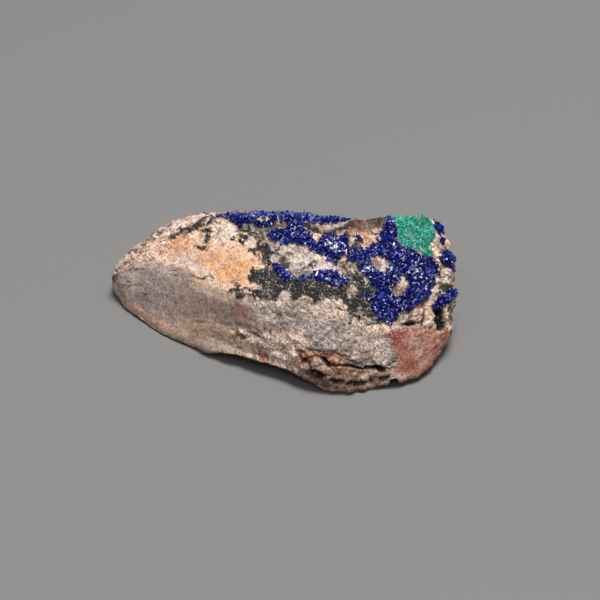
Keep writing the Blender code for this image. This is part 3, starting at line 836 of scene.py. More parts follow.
        stain("#665850", 2, 2, 0.4, [(190, 321), (206, 322.5), (222, 323), (238, 326), (250, 328),
              (260, 325)], width=2.5),
        stain("#6b4c34", 1.2, 1.5, 0.8, [(236, 334), (242, 338), (252, 334), (260, 338)], width=3.5,
              patchy=0.35),
        stain("#8b6a5e", 3, 3, 0.7, [(262, 328), (272, 328), (274, 338), (264, 340)]),
        stain("#8c5850", 4, 5, 0.65, [(234, 304), (246, 306), (252, 316), (250, 324), (242, 320),
              (236, 312)], patchy=0.4),
        stain("#94655d", 3, 3, 0.55, [(286, 302), (298, 304), (298, 313), (288, 312)], patchy=0.2),
        stain("#af9d94", 5, 5, 0.8, [(256, 304), (280, 300), (312, 306), (316, 326), (290, 330), (262, 324),
              (254, 314)]),
        stain("#dcbdac", 6, 5, 0.9, [(262, 334), (290, 328), (312, 332), (308, 356), (300, 372), (280, 366),
              (258, 356), (252, 342)]),
        stain("#6a4735", 4, 4, 0.75, pinkFront, fleck=0.74),
        stain("#f1dccd", 4, 4, 0.6, pinkFront, patchy=0.7),
        stain("#8c4a39", 2, 3, 0.9, [(255, 352), (266, 354), (271, 364), (260, 363)], patchy=0.15),
        stain("#8d6656", 2, 3, 0.7, [(295, 351), (310, 351), (312, 363), (298, 364)], patchy=0.3),
        stain("#ab9e99", 6, 5, 0.85, [(304, 324), (324, 320), (346, 326), (350, 342), (336, 350),
              (314, 346), (302, 338)]),
        stain("#d2b8a8", 4, 4, 0.9, [(300, 303), (322, 304), (340, 306), (348, 320), (338, 324), (318, 320),
              (302, 314)]),
        stain("#b9a396", 6, 5, 0.8, [(346, 328), (372, 326), (394, 330), (394, 348), (384, 360), (356, 360),
              (344, 350)]),
        stain("#57483f", 5, 5, 0.7, [(296, 302), (340, 304), (350, 320), (392, 328), (392, 356), (350, 352),
              (304, 346)], fleck=0.76),
        stain("#cda98c", 2.5, 3, 0.7, [(358, 325), (370, 327), (384, 329), (396, 327)], width=6,
              patchy=0.3),
        stain("#c9b5ae", 2, 2, 0.6, [(386, 327), (398, 326), (406, 330)], width=4, patchy=0.3),
        stain("#8d5c42", 1.5, 2, 0.7, [(346, 332), (352, 335)], width=4, patchy=0.3),
        stain("#7d7577", 4, 5, 0.6, [(388, 342), (396, 340), (400, 350), (398, 364), (390, 362)],
              patchy=0.4),
        stain("#b87e60", 2, 3.5, 0.95, [(294, 350), (304, 352), (322, 353), (342, 354), (348, 360),
              (340, 364), (322, 362), (306, 360)]),
        stain("#8a6852", 3, 3, 0.9, [(334, 366), (352, 368), (370, 371), (386, 370), (394, 374), (384, 380),
              (360, 380), (340, 378), (330, 372)]),
        stain("#7f5b47", 3, 4, 0.9, [(304, 366), (324, 376), (340, 382), (360, 384), (384, 380), (392, 386),
              (370, 396), (330, 398), (304, 386)]),
        stain("#b98a68", 2.5, 3, 0.7, [(316, 360), (328, 364), (330, 374), (322, 374), (314, 368)],
              patchy=0.2),
        stain("#4f3024", 1.5, 3, 0.9, [(311, 370), (318, 377), (330, 386), (344, 391)], width=6,
              patchy=0.35),
        stain("#98593e", 1.5, 3, 0.85, [(294, 349), (304, 351), (312, 358), (308, 366), (300, 364)],
              patchy=0.45),
        stain("#b98258", 1.5, 3, 0.8, [(328, 358), (342, 358), (346, 370), (336, 376), (328, 370)],
              patchy=0.5),
        stain("#9f7a61", 2, 3, 0.8, [(340, 371), (356, 373), (374, 373), (390, 371)], width=5, patchy=0.15),
        stain("#6e3f35", 1.5, 3, 0.8, [(330, 376), (340, 380), (346, 390), (334, 392)], patchy=0.3),
        stain("#c39a80", 1.5, 3, 0.75, [(306, 376), (316, 384), (328, 391), (344, 392), (364, 389),
              (384, 385)], width=5, patchy=0.25),
        stain("#95604d", 4, 4, 1.0, [(391, 331), (412, 326), (430, 327), (446, 334), (460, 340), (452, 352),
              (440, 366), (424, 380), (400, 390), (396, 376), (397, 358), (392, 345)]),
        stain("#84413a", 4, 5, 0.9, [(391, 333), (400, 329), (411, 333), (410, 342), (402, 349),
              (393, 347)]),
        stain("#934c3a", 3, 5, 0.85, [(426, 323), (434, 324), (438, 332), (431, 336), (426, 331)]),
        stain("#87483b", 5, 7, 0.7, [(402, 362), (412, 356), (420, 362), (416, 374), (406, 376),
              (400, 370)]),
        stain("#8e6c60", 4, 4, 0.85, [(408, 338), (420, 334), (426, 344), (420, 354), (410, 352)]),
        stain("#8e7064", 4, 4, 0.6, [(424, 348), (436, 344), (436, 362), (424, 366)]),
        stain("#b4775c", 3, 3, 0.85, [(436, 332), (448, 330), (456, 336), (448, 352), (438, 350)]),
        stain("#a98777", 3, 4, 0.7, [(396, 373), (420, 372), (416, 388), (398, 388)]),
        stain("#a8705c", 4, 6, 0.7, [(404, 328), (428, 328), (440, 340), (436, 362), (420, 372),
              (412, 352)], patchy=0.45),
        stain("#efd8c4", 1.5, 3, 0.85, [(350, 319), (362, 325), (374, 327.5), (388, 328)], width=6,
              patchy=0.4),
        stain("#d79c6c", 1.5, 3, 0.7, [(362, 325), (374, 327), (388, 328)], width=6, patchy=0.6),
    ],
}


# A hollow or crack: its points, its depth in mm, its width if it is a line, and how much painted shade
# darkens it, which goes by its depth if it isn't said: the larger of 0.8 depth, up to 1, and depth - 1.2, up
# to 2.
def hollow(points, depth, width=None, shade=None):
    if shade is None:
        shade = max(min(1.0, 0.8 * depth), min(2.0, depth - 1.2))
    return patch(points, width, depth=depth, shade=shade)


# How rough the rock is in an area: how high its lumps are, how strongly its grain and its mottling show, as
# shares of the ordinary, how high its broken blocks stand in mm, and how far its edge fades in pixels.
def rough(lumps, grain, mottle, broken, soft, points):
    return patch(points, lumps=lumps, grain=grain, mottle=mottle, broken=broken, soft=soft)


hollows = [
    hollow([(193, 276), (198, 279), (204, 279)], 0.35, 1.8),
    hollow([(208, 274), (209.5, 275)], 0.4, 2.4),
    hollow([(211.5, 277), (212.5, 277.5)], 0.4, 2.2),
    hollow([(196, 322.5), (222, 323.5), (250, 328.5)], 0.08, 3.0),
    hollow([(236, 336), (242, 334), (246, 339), (240, 341)], 0.5),
    hollow([(250, 333), (258, 338)], 0.4, 3),
    hollow([(301, 358), (306, 358), (306, 363), (301, 363)], 0.7),
    hollow([(319, 357.5), (325, 359), (331, 364), (332, 368), (327, 368.5), (323, 363)], 1.8),
    hollow([(330, 366), (340, 365.5), (351, 366.7), (363, 369.6)], 1.6, 2.2),
    hollow([(366, 369), (371, 367.5), (380, 367)], 1.8, 3.0),
    hollow([(376, 367), (386, 368.5), (386, 371), (381, 373), (378, 371)], 1.8),
    hollow([(310, 368), (315, 367.5), (320, 370), (318, 373), (311, 372)], 1.6),
    hollow([(316, 373), (322, 373), (326, 378), (319, 378)], 1.9),
    hollow([(299, 357), (305, 362), (311, 366)], 0.8, 3.0, shade=0.35),
    hollow([(331, 381), (345, 383), (357, 383.5), (367, 381), (377, 379), (389, 377.5)], 1.5, 2.8),
    hollow([(352, 381.5), (362, 381.5), (362, 386), (353, 386.5)], 1.5),
    hollow([(392, 361), (397, 360.5), (396, 363.5), (392.5, 363.5)], 0.6),
    # the same slot, with strong painted shade
    hollow([(435.5, 307), (443, 308), (445.5, 316), (444, 332), (437.5, 331), (436, 320)], 1.3, shade=1.6),
    hollow([(405, 323.5), (412, 321), (416, 323.5), (412, 327)], 1.2),
    hollow([(336, 352), (322, 352), (306, 350)], 0.4, 2.5, shade=0.1),
    hollow([(306, 380), (318, 386), (330, 390)], 0.7, 2.0),
    hollow([(238, 224), (243, 229), (252, 228), (262, 236)], 0.4, 5, shade=0.1),
    hollow([(303, 224), (314, 231), (334, 232)], 0.35, 4, shade=0.15),
    hollow([(258, 226), (290, 226)], 0.35, 4, shade=0.1),
    hollow([(218, 211), (236, 208), (252, 208)], 0.9, 13, shade=0.0),
    hollow([(252, 208), (300, 209), (346, 213)], 0.6, 10, shade=0.0),
    hollow([(390, 212), (430, 212)], 0.9, 12, shade=0.0),
    hollow([(371, 260), (379, 260), (384, 264), (382, 270), (376, 269)], 0.3),
    hollow([(396, 287), (404, 286), (402, 292), (399, 296), (395, 292)], 0.3),
    hollow([(296, 353), (318, 356), (344, 357)], 0.35, 6, shade=0.1),
    hollow([(116, 266), (120, 262), (125, 258)], -0.6, 9, shade=0.0),  # a swelling at the tip
    hollow([(111, 285), (114, 294)], -0.25, 8, shade=0.0),
]
roughAreas = [
    rough(0.9, 1.1, 0.85, 0.0, 14, [(100, 200), (290, 200), (290, 300), (200, 285), (100, 262)]),
    rough(0.8, 0.9, 0.5, 0.0, 6, [(160, 248), (190, 240), (210, 246), (250, 248), (254, 282), (228, 292),
          (200, 278), (176, 258)]),
    rough(1.0, 1.2, 1.15, 0.15, 8, [(100, 200), (206, 205), (196, 232), (160, 250), (130, 262),
          (100, 262)]),
    rough(1.0, 1.65, 0.5, 0.0, 8, [(240, 298), (330, 298), (400, 320), (400, 400), (290, 380), (240, 360)]),
    rough(0.45, 0.9, 0.22, 0.0, 8, [(100, 262), (190, 268), (238, 298), (262, 316), (262, 328), (236, 350),
          (180, 350), (100, 300)]),
    rough(1.1, 1.6, 0.65, 0.1, 6, [(226, 326), (262, 326), (300, 336), (296, 372), (262, 366), (236, 356)]),
    rough(1.7, 0.95, 0.7, 0.55, 5, [(296, 350), (350, 352), (392, 364), (398, 400), (300, 400),
          (290, 366)]),
    rough(0.9, 1.0, 0.28, 0.1, 6, [(396, 326), (470, 326), (470, 380), (396, 400)]),
    rough(1.2, 1.0, 1.1, 0.5, 4, [(428, 236), (470, 236), (470, 334), (436, 330), (404, 326), (404, 306),
          (430, 300)]),
    rough(1.0, 0.9, 0.85, 0.45, 5, [(236, 216), (300, 216), (350, 212), (392, 212), (380, 250), (352, 252),
          (380, 290), (376, 324), (336, 292), (300, 276), (270, 268), (250, 262), (254, 244)]),
]
rockRelief = {
    "lumps": [(5.0, 0.36), (2.2, 0.22), (1.1, 0.16), (0.6, 0.10)],  # mm across, mm high
    "pits": (1.3, 0.25),  # mm apart, mm deep
    "pitEdge": (0.2, 0.08, 0.08),  # how far out a pit starts and is whole, and how far that strays
    "pitRare": (0.74, 0.4),  # the share of centres without a pit, and how much less in well mottled rock
    "hollowEdge": (-0.4, 0.7, 1.3),  # pixels over which a hollow sets in, and how much its edge wanders
    "blocks": 1.3,  # mm across
    "blockBend": (0.4, 0.9, 150, 1),  # mm, then the noise that bends them
    "blockStretch": [0.7, 1.0, 1.3],
    "jointWidth": (0.14, 0.02),  # where a joint starts and is whole, as a share of a block
    "jointDepth": 0.25,
    "azuriteDome": (1.7, 0.6),
    "malachiteSwell": 0.1,
    "oxideSwell": 0.1,
}


# The colour of each point: each stain mixed in by its cover, with edges strayed by noise and broken by its
# patchy and fleck: cover * step(depth + wander * noise) * step(spots) * step(specks).
def painted():
    stray = rockPaint["strays"][0] * noise("stray") + rockPaint["strays"][1] * noise("fineStray")
    level, softness = rockPaint["patchy"]
    breaks = {"patchy": (0.5 + level * noise("spots"), softness)}
    flecky = bent(*rockPaint["fleckBend"])
    level, broad, softness = rockPaint["fleck"]
    flecks = 0.5 + level * cloud(flecky, *rockNoise["flecks"])
    flecks = flecks + broad * cloud(flecky, *rockNoise["broadFlecks"])
    breaks["fleck"] = (flecks, softness)
    colour = linear(rockPaint["buried"]) * np.ones((len(base), 3))
    for name, share in (("buriedTan", smoothStep(*rockPaint["tanFrom"], noise("tan"))),
                        ("crestBack", smoothStep(*rockPaint["crestFrom"], drop)),
                        ("tip", smoothStep(*rockPaint["tipFrom"], base[:, 0])), ("roof", seen)):
        colour += (linear(rockPaint[name]) - colour) * share[:, None]
    front = stain(rockPaint["frontBase"], 2.5, 5.5, 1.0, rockPaint["front"])
    for row in [*rockPaint["stains"], front, *rockPaint["frontStains"]]:
        depth = edgeDepth(spots, row) + row["wander"] * stray
        share = smoothStep(-row["soft"], row["soft"], depth) * row["cover"] * seen
        for kind, (level, soft) in breaks.items():
            if kind in row:
                share = share * smoothStep(row[kind] - soft, row[kind] + soft, level)
        colour = colour + (linear(row["colour"]) - colour) * share[:, None]
    # Painted light: the steep front and the blunt end get less light, so their colours are painted paler by
    # frontGain.
    steep = smoothStep(*rockPaint["steepFrom"], edgeDepth(spots, front) + front["wander"] * stray)
    steep = np.maximum(steep, smoothStep(*rockPaint["endFrom"], spots[:, 0]))
    colour = colour * (1 + (rockPaint["frontGain"] - 1) * steep * seen)[:, None]

    def paler(share):
        nonlocal colour
        bright = smoothStep(*rockPaint["brightFrom"], colour.mean(1))
        share = np.minimum(share * rockPaint["mottling"] * mottly * bright, 0.9)[:, None]
        colour = colour + (linear(rockPaint["paleMottle"]) - colour) * share

    def browner(share, power, strength):
        nonlocal colour
        share = np.minimum(share * strength * mottly, 0.95)[:, None]
        colour = colour + (colour * linear(rockPaint["brownMottle"]) ** power - colour) * share

    paler(smoothStep(*rockPaint["paleFrom"], noise("pale")))
    speckled = rockPaint["speckles"][0] * noise("speckles") + rockPaint["speckles"][1] * noise("fineSpeckles")
    paler(smoothStep(*rockPaint["speckFrom"], speckled))
    browner(smoothStep(*rockPaint["brownFrom"], speckled), 1.0, rockPaint["mottling"])
    porous = noise("pores") + 0.3 * noise("broadPores")
    browner(smoothStep(*rockPaint["poreFrom"], porous), *rockPaint["pores"])
    browner(joints * smoothStep(*rockPaint["jointFrom"], broken), *rockPaint["joints"])
    return colour * (1 + rockPaint["shading"] * noise("mottles"))[:, None]


# How lumpy, grainy, mottled and broken each point is: the areas' values, blended at their edges.
def roughness():
    kinds = ["lumps", "grain", "mottle", "broken"]
    shares = np.array([[1.0], [1.0], [0.5], [0.0]]) * np.ones(len(base))
    for area in roughAreas:
        edge = smoothStep(-area["soft"], area["soft"], edgeDepth(spots, area)) * seen
        shares += (np.array([[area[kind]] for kind in kinds]) - shares) * edge
    return shares


# Broken rock: cells bent by noise and drawn out along the bedding, each at its own height, with a joint
# where the nearest and the second nearest cell are as close.
def fractured():
    stretched = bent(*rockRelief["blockBend"]) * rockRelief["blockStretch"]
    nearest, second, tag, _ = cells(stretched, rockRelief["blocks"], 160)
    return tag - 0.5, smoothStep(*rockRelief["jointWidth"], second - nearest)


# Small pits: 1 where a point stands close to one of the strewn centres that have a pit.
def pitted():
    nearest, _, tag, _ = cells(base, rockRelief["pits"][0], 190)
    outer, inner, stray = rockRelief["pitEdge"]
    rare, more = rockRelief["pitRare"]
    chosen = tag > rare - more * smoothStep(0.7, 1.1, mottly)
    return smoothStep(outer, inner, nearest + stray * fine) * chosen


# How far each point moves out along its normal, in mm: noise lumps times the local roughness, less the
# hollows and pits, plus the domes under the minerals. Also how deep it lies in a hollow, from 0 to 2, which
# sets the painted shade there.
def relief():
    out = lumpy * sum(high * cloud(base, size, 100 + k, 1)
                      for k, (size, high) in enumerate(rockRelief["lumps"]))
    sunk = np.zeros(len(base))
    outer, inner, stray = rockRelief["hollowEdge"]
    for row in hollows:
        inside = smoothStep(outer, inner, edgeDepth(spots, row) + stray * wander) * seen
        out -= row["depth"] * inside
        sunk = np.maximum(sunk, inside * row["shade"])
    bare = (1 - azuriteAll) * (1 - malachite)
    out += broken * (heights - rockRelief["jointDepth"] * joints) * (1 - 0.6 * (1 - bare))
    out -= rockRelief["pits"][1] * pits * bare
    size, high = rockRelief["azuriteDome"]
    nearest = cells(base, size, 200)[0]
    out += azuriteAll * high * (1 - np.clip(nearest / 0.75, 0, 1) ** 2)
    out += malachite * rockRelief["malachiteSwell"] * (1 + 0.3 * noise("swell"))
    out += oxideAll * rockRelief["oxideSwell"]
    return out, sunk


lumpy, grainy, mottly, broken = roughness()
heights, joints = fractured()
pits = pitted()
colours = painted()
overhang = {
    # how high the front edge stands off the floor: pixel column, mm
    "lifts": [(112, 0.1), (120, 0.4), (200, 0.4), (216, 1.0), (235, 1.9), (262, 2.3), (290, 1.9),
              (308, 1.0), (320, 0.3), (335, 0.15), (360, 0.2), (385, 0.3), (405, 0.5), (440, 0.4),
              (452, 0.2)],
    "stray": (3.0, 1.2),  # pixels that the middling noise shifts the lifts along, and the fine noise the gap
    "reach": 7.0,  # mm in from the edge that the underside takes to come down to the floor
    "height": (4.5, 0.3),  # mm up the face where the lift has died away, and where it starts to
    "flat": 0.6,  # mm up that still counts as the foot
    "notch": [(388.3, 0.0), (390.0, 1.8), (396.8, 1.6), (399.0, 0.0)],  # a gap in the edge: column, mm
    "notchReach": (7.0, 4.0),  # mm in from the edge where the gap has closed, and where it starts to
    "notchHeight": (2.5, 0.6),
}


# The foot's front edge lifted off the floor, so that the rock overhangs it: each point near the edge
# rises by the lift at its place along the rock and comes forward along the camera's line of sight,
# less and less towards the middle of the underside. Where the edge has a gap it only rises.
def lifted(points):
    grid = points[:-2].reshape(rock["rings"], rock["around"], 3)
    edge = np.where(grid[..., 2] < overhang["flat"], grid[..., 1], 99.0).min(1)
    edge = np.append(np.repeat(edge, rock["around"]), [99.0, 99.0])
    liftStray, notchStray = overhang["stray"]
    lift = np.interp(spots[:, 0] + liftStray * middling, *zip(*overhang["lifts"])) * (edge < 90)
    lift = lift * smoothStep(overhang["reach"], 0.0, points[:, 1] - edge)
    lift = lift * smoothStep(*overhang["height"], points[:, 2])
    notch = np.interp(spots[:, 0] + notchStray * fine, *zip(*overhang["notch"])) * (edge < 90)
    notch *= smoothStep(*overhang["notchReach"], points[:, 1] - edge)
    notch *= smoothStep(*overhang["notchHeight"], points[:, 2])
    points = points + notch[:, None] * [0.0, 0.0, 1.0]
    return points + lift[:, None] * [0.0, -1 / math.tan(math.radians(view["elevation"])), 1.0]


raised, sunk = relief()
# Painted shade: hollows, cracks and pits darkened by how deep they lie, the deepest painted near black.
for name, share in (("hollow", np.minimum(sunk, 1.0)), ("pit", 0.5 * pits * seen)):
    colours += (colours * linear(rockPaint[name]) - colours) * share[:, None]
colours *= 1 - 0.9 * np.clip(sunk - 1.0, 0, 1)[:, None]
skin = base + normals * raised[:, None]
skin[:, 2] = np.maximum(skin[:, 2], 0.0)
skin = lifted(skin)
skinNormals = gridNormals(skin)
print("rock painted and roughened")


def rgba(hexColour):
    return (*linear(hexColour), 1.0)


# Adds one node: values, and sockets or nodes to read, given by input name or number, a colour ramp's stops
# as place and hex colour, and settings by attribute name. A node stands for its first output.
def addNode(tree, kind, inputs=None, stops=(), **settings):
    node = tree.nodes.new(kind)
    for key, value in settings.items():
        setattr(node, key, value)
    for k, (at, colour) in enumerate(stops):
        stop = node.color_ramp.elements[k] if k < 2 else node.color_ramp.elements.new(at)
        stop.position, stop.color = at, rgba(colour)
    for key, value in (inputs or {}).items():
        value = value.outputs[0] if isinstance(value, bpy.types.Node) else value
        if isinstance(value, bpy.types.NodeSocket):
            tree.links.new(value, node.inputs[key])
        else:
            node.inputs[key].default_value = value
    return node


def newMaterial(name):
    made = bpy.data.materials.new(name)
    made.use_nodes = True
    made.node_tree.nodes.clear()
    return made, made.node_tree


# Ties a shader to the material's output, with a bump from a height in mm.
def finishMaterial(tree, shader, height=None, bumpMm=0.1, strength=1.0):
    if height is not None:
        bump = addNode(tree, "ShaderNodeBump", {"Height": height, "Distance": bumpMm * mm,
                                                "Strength": strength})
        tree.links.new(bump.outputs["Normal"], shader.inputs["Normal"])
    addNode(tree, "ShaderNodeOutputMaterial", {"Surface": shader.outputs[0]})


surfaces = {
    # mm across: the sandstone's grains and the dust between them, the flat facets that break up the azurite's
    # faces, and the dull and waxy patches of the oxide
    "grain": 0.28,
    "dust": 0.34,
    "facet": 0.3,
    "soot": 0.25,
    "milkyGrain": "#f2e6de",
    # painted glints, mixed onto a few of the azurite's facets
    "paintedGlint": "#dfe5fb",
    # colour ramps, from the darkest tone to the palest
    # the azurite's palest stop is the near-white of its painted glints and pale grains
    "azurite": [(0.0, "#04063f"), (0.35, "#070c66"), (0.65, "#0f1a84"), (0.82, "#2a388f"),
                (0.92, "#626aa6"), (1.0, "#f8f9ff")],
    "malachite": [(0.0, "#067060"), (0.4, "#12aa92"), (0.7, "#3ad2b8"), (1.0, "#d4f8ee")],
    "oxide": [(0.0, "#050506"), (0.5, "#2d2a28"), (0.8, "#79726a"), (1.0, "#d8ccbe")],
}


# Weathered quartz sandstone: matt, with grains that show as pale and dark specks and a few that glint.
def sandstoneMaterial():
    made, tree = newMaterial("weathered quartz sandstone")
    place = addNode(tree, "ShaderNodeTexCoord").outputs["Object"]
    paint = addNode(tree, "ShaderNodeAttribute", attribute_name="paint").outputs["Color"]
    share = addNode(tree, "ShaderNodeAttribute", attribute_name="grain").outputs["Fac"]
    grain = addNode(tree, "ShaderNodeTexVoronoi", {"Vector": place, "Scale": 1 / (surfaces["grain"] * mm)})
    speck = addNode(tree, "ShaderNodeSeparateColor", {"Color": grain.outputs["Color"]})
    dust = addNode(tree, "ShaderNodeTexNoise", {"Vector": place, "Scale": 1 / (surfaces["dust"] * mm),
                                                "Detail": 3.0, "Roughness": 0.7})
    fleck = addNode(tree, "ShaderNodeMapRange", {"Value": speck, "To Min": -0.3, "To Max": 0.3})
    cloudy = addNode(tree, "ShaderNodeMapRange", {"Value": dust, "From Min": 0.34, "From Max": 0.66,
                                                  "To Min": -0.3, "To Max": 0.3})
    both = addNode(tree, "ShaderNodeMath", {0: fleck, 1: cloudy}, operation="ADD")
    shade = addNode(tree, "ShaderNodeMath", {0: both, 1: share, 2: 1.0}, operation="MULTIPLY_ADD")
    lowest = addNode(tree, "ShaderNodeMath", {0: shade, 1: 0.25}, operation="MAXIMUM")
    colour = addNode(tree, "ShaderNodeVectorMath", {0: paint, "Scale": lowest}, operation="SCALE").outputs[0]
    milky = addNode(tree, "ShaderNodeMix", {0: 0.45, 6: paint, 7: rgba(surfaces["milkyGrain"])},
                    data_type="RGBA")
    dusky = addNode(tree, "ShaderNodeVectorMath", {0: paint, "Scale": 0.22}, operation="SCALE")
    for channel, low, high, tint in (("Green", 0.86, 0.92, milky.outputs[2]),
                                     ("Blue", 0.88, 0.94, dusky.outputs[0])):
        some = addNode(tree, "ShaderNodeMapRange", {"Value": speck.outputs[channel], "From Min": low,
                                                    "From Max": high, "To Min": 0.0, "To Max": 0.42})
        some = addNode(tree, "ShaderNodeMath", {0: some, 1: share}, operation="MULTIPLY")
        colour = addNode(tree, "ShaderNodeMix", {0: some, 6: colour, 7: tint}, data_type="RGBA").outputs[2]
    gloss = addNode(tree, "ShaderNodeMapRange", {"Value": speck.outputs["Green"], "From Min": 0.86,
                                                 "From Max": 0.94, "To Min": 0.88, "To Max": 0.35})
    height = addNode(tree, "ShaderNodeMath", {0: speck, 1: dust}, operation="ADD")
    shader = addNode(tree, "ShaderNodeBsdfPrincipled", {
        "Base Color": colour, "Roughness": gloss, "IOR": 1.54, "Specular IOR Level": 0.35})
    finishMaterial(tree, shader, height, 0.12, 0.8)
    return made


# Azurite: vitreous and deep blue. Its faces are broken into flat facets, each tilted and toned by its own
# random colour, darker or brighter at random, and a few mixed towards blue-white as painted glints.
def azuriteMaterial():
    made, tree = newMaterial("azurite crystal")
    tone = addNode(tree, "ShaderNodeAttribute", attribute_name="tone").outputs["Fac"]
    place = addNode(tree, "ShaderNodeTexCoord").outputs["Object"]
    ramp = addNode(tree, "ShaderNodeValToRGB", {"Fac": tone}, surfaces["azurite"])
    facet = addNode(tree, "ShaderNodeTexVoronoi", {"Vector": place, "Scale": 1 / (surfaces["facet"] * mm)})
    offset = addNode(tree, "ShaderNodeVectorMath", {0: place, 1: facet.outputs["Position"]},
                     operation="SUBTRACT")
    slope = addNode(tree, "ShaderNodeVectorMath", {0: facet.outputs["Color"], 1: (0.5, 0.5, 0.5)},
                    operation="SUBTRACT")
    plane = addNode(tree, "ShaderNodeVectorMath", {0: offset, 1: slope}, operation="DOT_PRODUCT")
    height = addNode(tree, "ShaderNodeMath", {0: plane.outputs["Value"], 1: 1 / mm}, operation="MULTIPLY")
    speck = addNode(tree, "ShaderNodeSeparateColor", {"Color": facet.outputs["Color"]})
    deep = addNode(tree, "ShaderNodeMapRange", {"Value": speck, "To Min": 0.45, "To Max": 1.5})
    shaded = addNode(tree, "ShaderNodeVectorMath", {0: ramp, "Scale": deep}, operation="SCALE")
    # painted glints: a few facets are mixed towards blue-white
    edge = addNode(tree, "ShaderNodeMapRange", {"Value": speck.outputs["Green"], "From Min": 0.91,
                                                "From Max": 0.99, "To Min": 0.0, "To Max": 0.65})
    lit = addNode(tree, "ShaderNodeMix", {0: edge, 6: shaded, 7: rgba(surfaces["paintedGlint"])},
                  data_type="RGBA")
    shader = addNode(tree, "ShaderNodeBsdfPrincipled", {
        "Base Color": lit.outputs[2], "Roughness": 0.14, "IOR": 1.73, "Specular IOR Level": 0.25,
        "Coat Weight": 0.1, "Coat Roughness": 0.04, "Coat IOR": 1.6})
    finishMaterial(tree, shader, height, 1.0, 1.0)
    return made


# Fibrous malachite: silky green needles in felted sprays, painted paler along a streak as a sheen highlight.
def malachiteMaterial():
    made, tree = newMaterial("fibrous malachite")
    tone = addNode(tree, "ShaderNodeAttribute", attribute_name="tone").outputs["Fac"]
    ramp = addNode(tree, "ShaderNodeValToRGB", {"Fac": tone}, surfaces["malachite"])
    shader = addNode(tree, "ShaderNodeBsdfPrincipled", {
        "Base Color": ramp, "Roughness": 0.38, "IOR": 1.7, "Specular IOR Level": 0.5, "Sheen Weight": 0.3,
        "Sheen Roughness": 0.4})
    finishMaterial(tree, shader)
    return made


# Manganese and iron oxide: sooty black to brown grains, dull and waxy in patches.
def oxideMaterial():
    made, tree = newMaterial("black manganese oxide")
    tone = addNode(tree, "ShaderNodeAttribute", attribute_name="tone").outputs["Fac"]
    place = addNode(tree, "ShaderNodeTexCoord").outputs["Object"]
    ramp = addNode(tree, "ShaderNodeValToRGB", {"Fac": tone}, surfaces["oxide"])
    soot = addNode(tree, "ShaderNodeTexNoise", {"Vector": place, "Scale": 1 / (surfaces["soot"] * mm),
                                                "Detail": 3.0})
    gloss = addNode(tree, "ShaderNodeMapRange", {"Value": soot, "To Min": 0.4, "To Max": 0.85})
    shader = addNode(tree, "ShaderNodeBsdfPrincipled", {"Base Color": ramp, "Roughness": gloss, "IOR": 1.6})
    finishMaterial(tree, shader, soot, 0.05, 0.6)
    return made


sandstone, azuriteGlass = sandstoneMaterial(), azuriteMaterial()
malachiteSilk, oxideBlack = malachiteMaterial(), oxideMaterial()


# A finished piece: its material, its shading, the body it rides on and the nodes it stands for.
def addPiece(piece, material, nodes, smooth):
    piece.data.materials.append(material)
    piece.data.polygons.foreach_set("use_smooth", np.full(len(piece.data.polygons), smooth))
    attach(piece, "root")
    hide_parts(*nodes)


# Spots strewn over the rock: one at random in each quad where share allows it, then one kept in each
# cube of the given spacing, so that they stand roughly evenly. Returns places, normals and quad corners.
def strewn(share, spacing, seed):
    random = np.random.default_rng(seed)
    quads = rockFaces()[0]
    quads = quads[share[quads].mean(1) > 0.05]
    u, v = random.random((2, len(quads), 1))
    shares = np.stack([(1 - u) * (1 - v), (1 - u) * v, u * v, u * (1 - v)])
    places = sum(w * skin[quads[:, k]] for k, w in enumerate(shares))
    ways = sum(w * skinNormals[quads[:, k]] for k, w in enumerate(shares))
    chance = sum(w[:, 0] * share[quads[:, k]] for k, w in enumerate(shares))
    order = random.permutation(np.nonzero(chance > random.random(len(quads)))[0])
    cubes = np.floor(places[order] / spacing).astype(int)
    order = order[np.unique(cubes, axis=0, return_index=True)[1]]
    ways = ways[order] / np.linalg.norm(ways[order], axis=1, keepdims=True)
    return places[order], ways, quads[order, 0]


# Three directions at right angles for each axis, the last along it, turned round it at random.
def framesOn(axes, random):
    axes = axes / np.linalg.norm(axes, axis=1, keepdims=True)
    loose = random.normal(size=axes.shape)
    side = np.cross(axes, loose)
    side /= np.linalg.norm(side, axis=1, keepdims=True)
    return np.stack([side, np.cross(axes, side), axes], axis=1)


# Many small closed bodies in one mesh: body point = place + its own (x, y, z) along its three directions.
def swarm(name, shapes, faces, places, frames, tone):
    points = places[:, None, :] + np.einsum("nki,nij->nkj", shapes, frames)
    count, each = shapes.shape[:2]
    shift = (np.arange(count) * each)[:, None, None]
    sets = [(f[None] + shift).reshape(-1, f.shape[1]) for f in faces]
    piece = makeMesh(name, points.reshape(-1, 3), *sets)
    giveNumbers(piece, "tone", np.repeat(tone, each))
    return piece


# The faces of a closed body of rings: quads between one ring and the next, and a flat cap at each end.
def ringFaces(rings, sides):
    j = np.arange(sides)
    last = (rings - 1) * sides
    return [gridFaces(rings, sides), np.stack([j[::-1], last + j])]


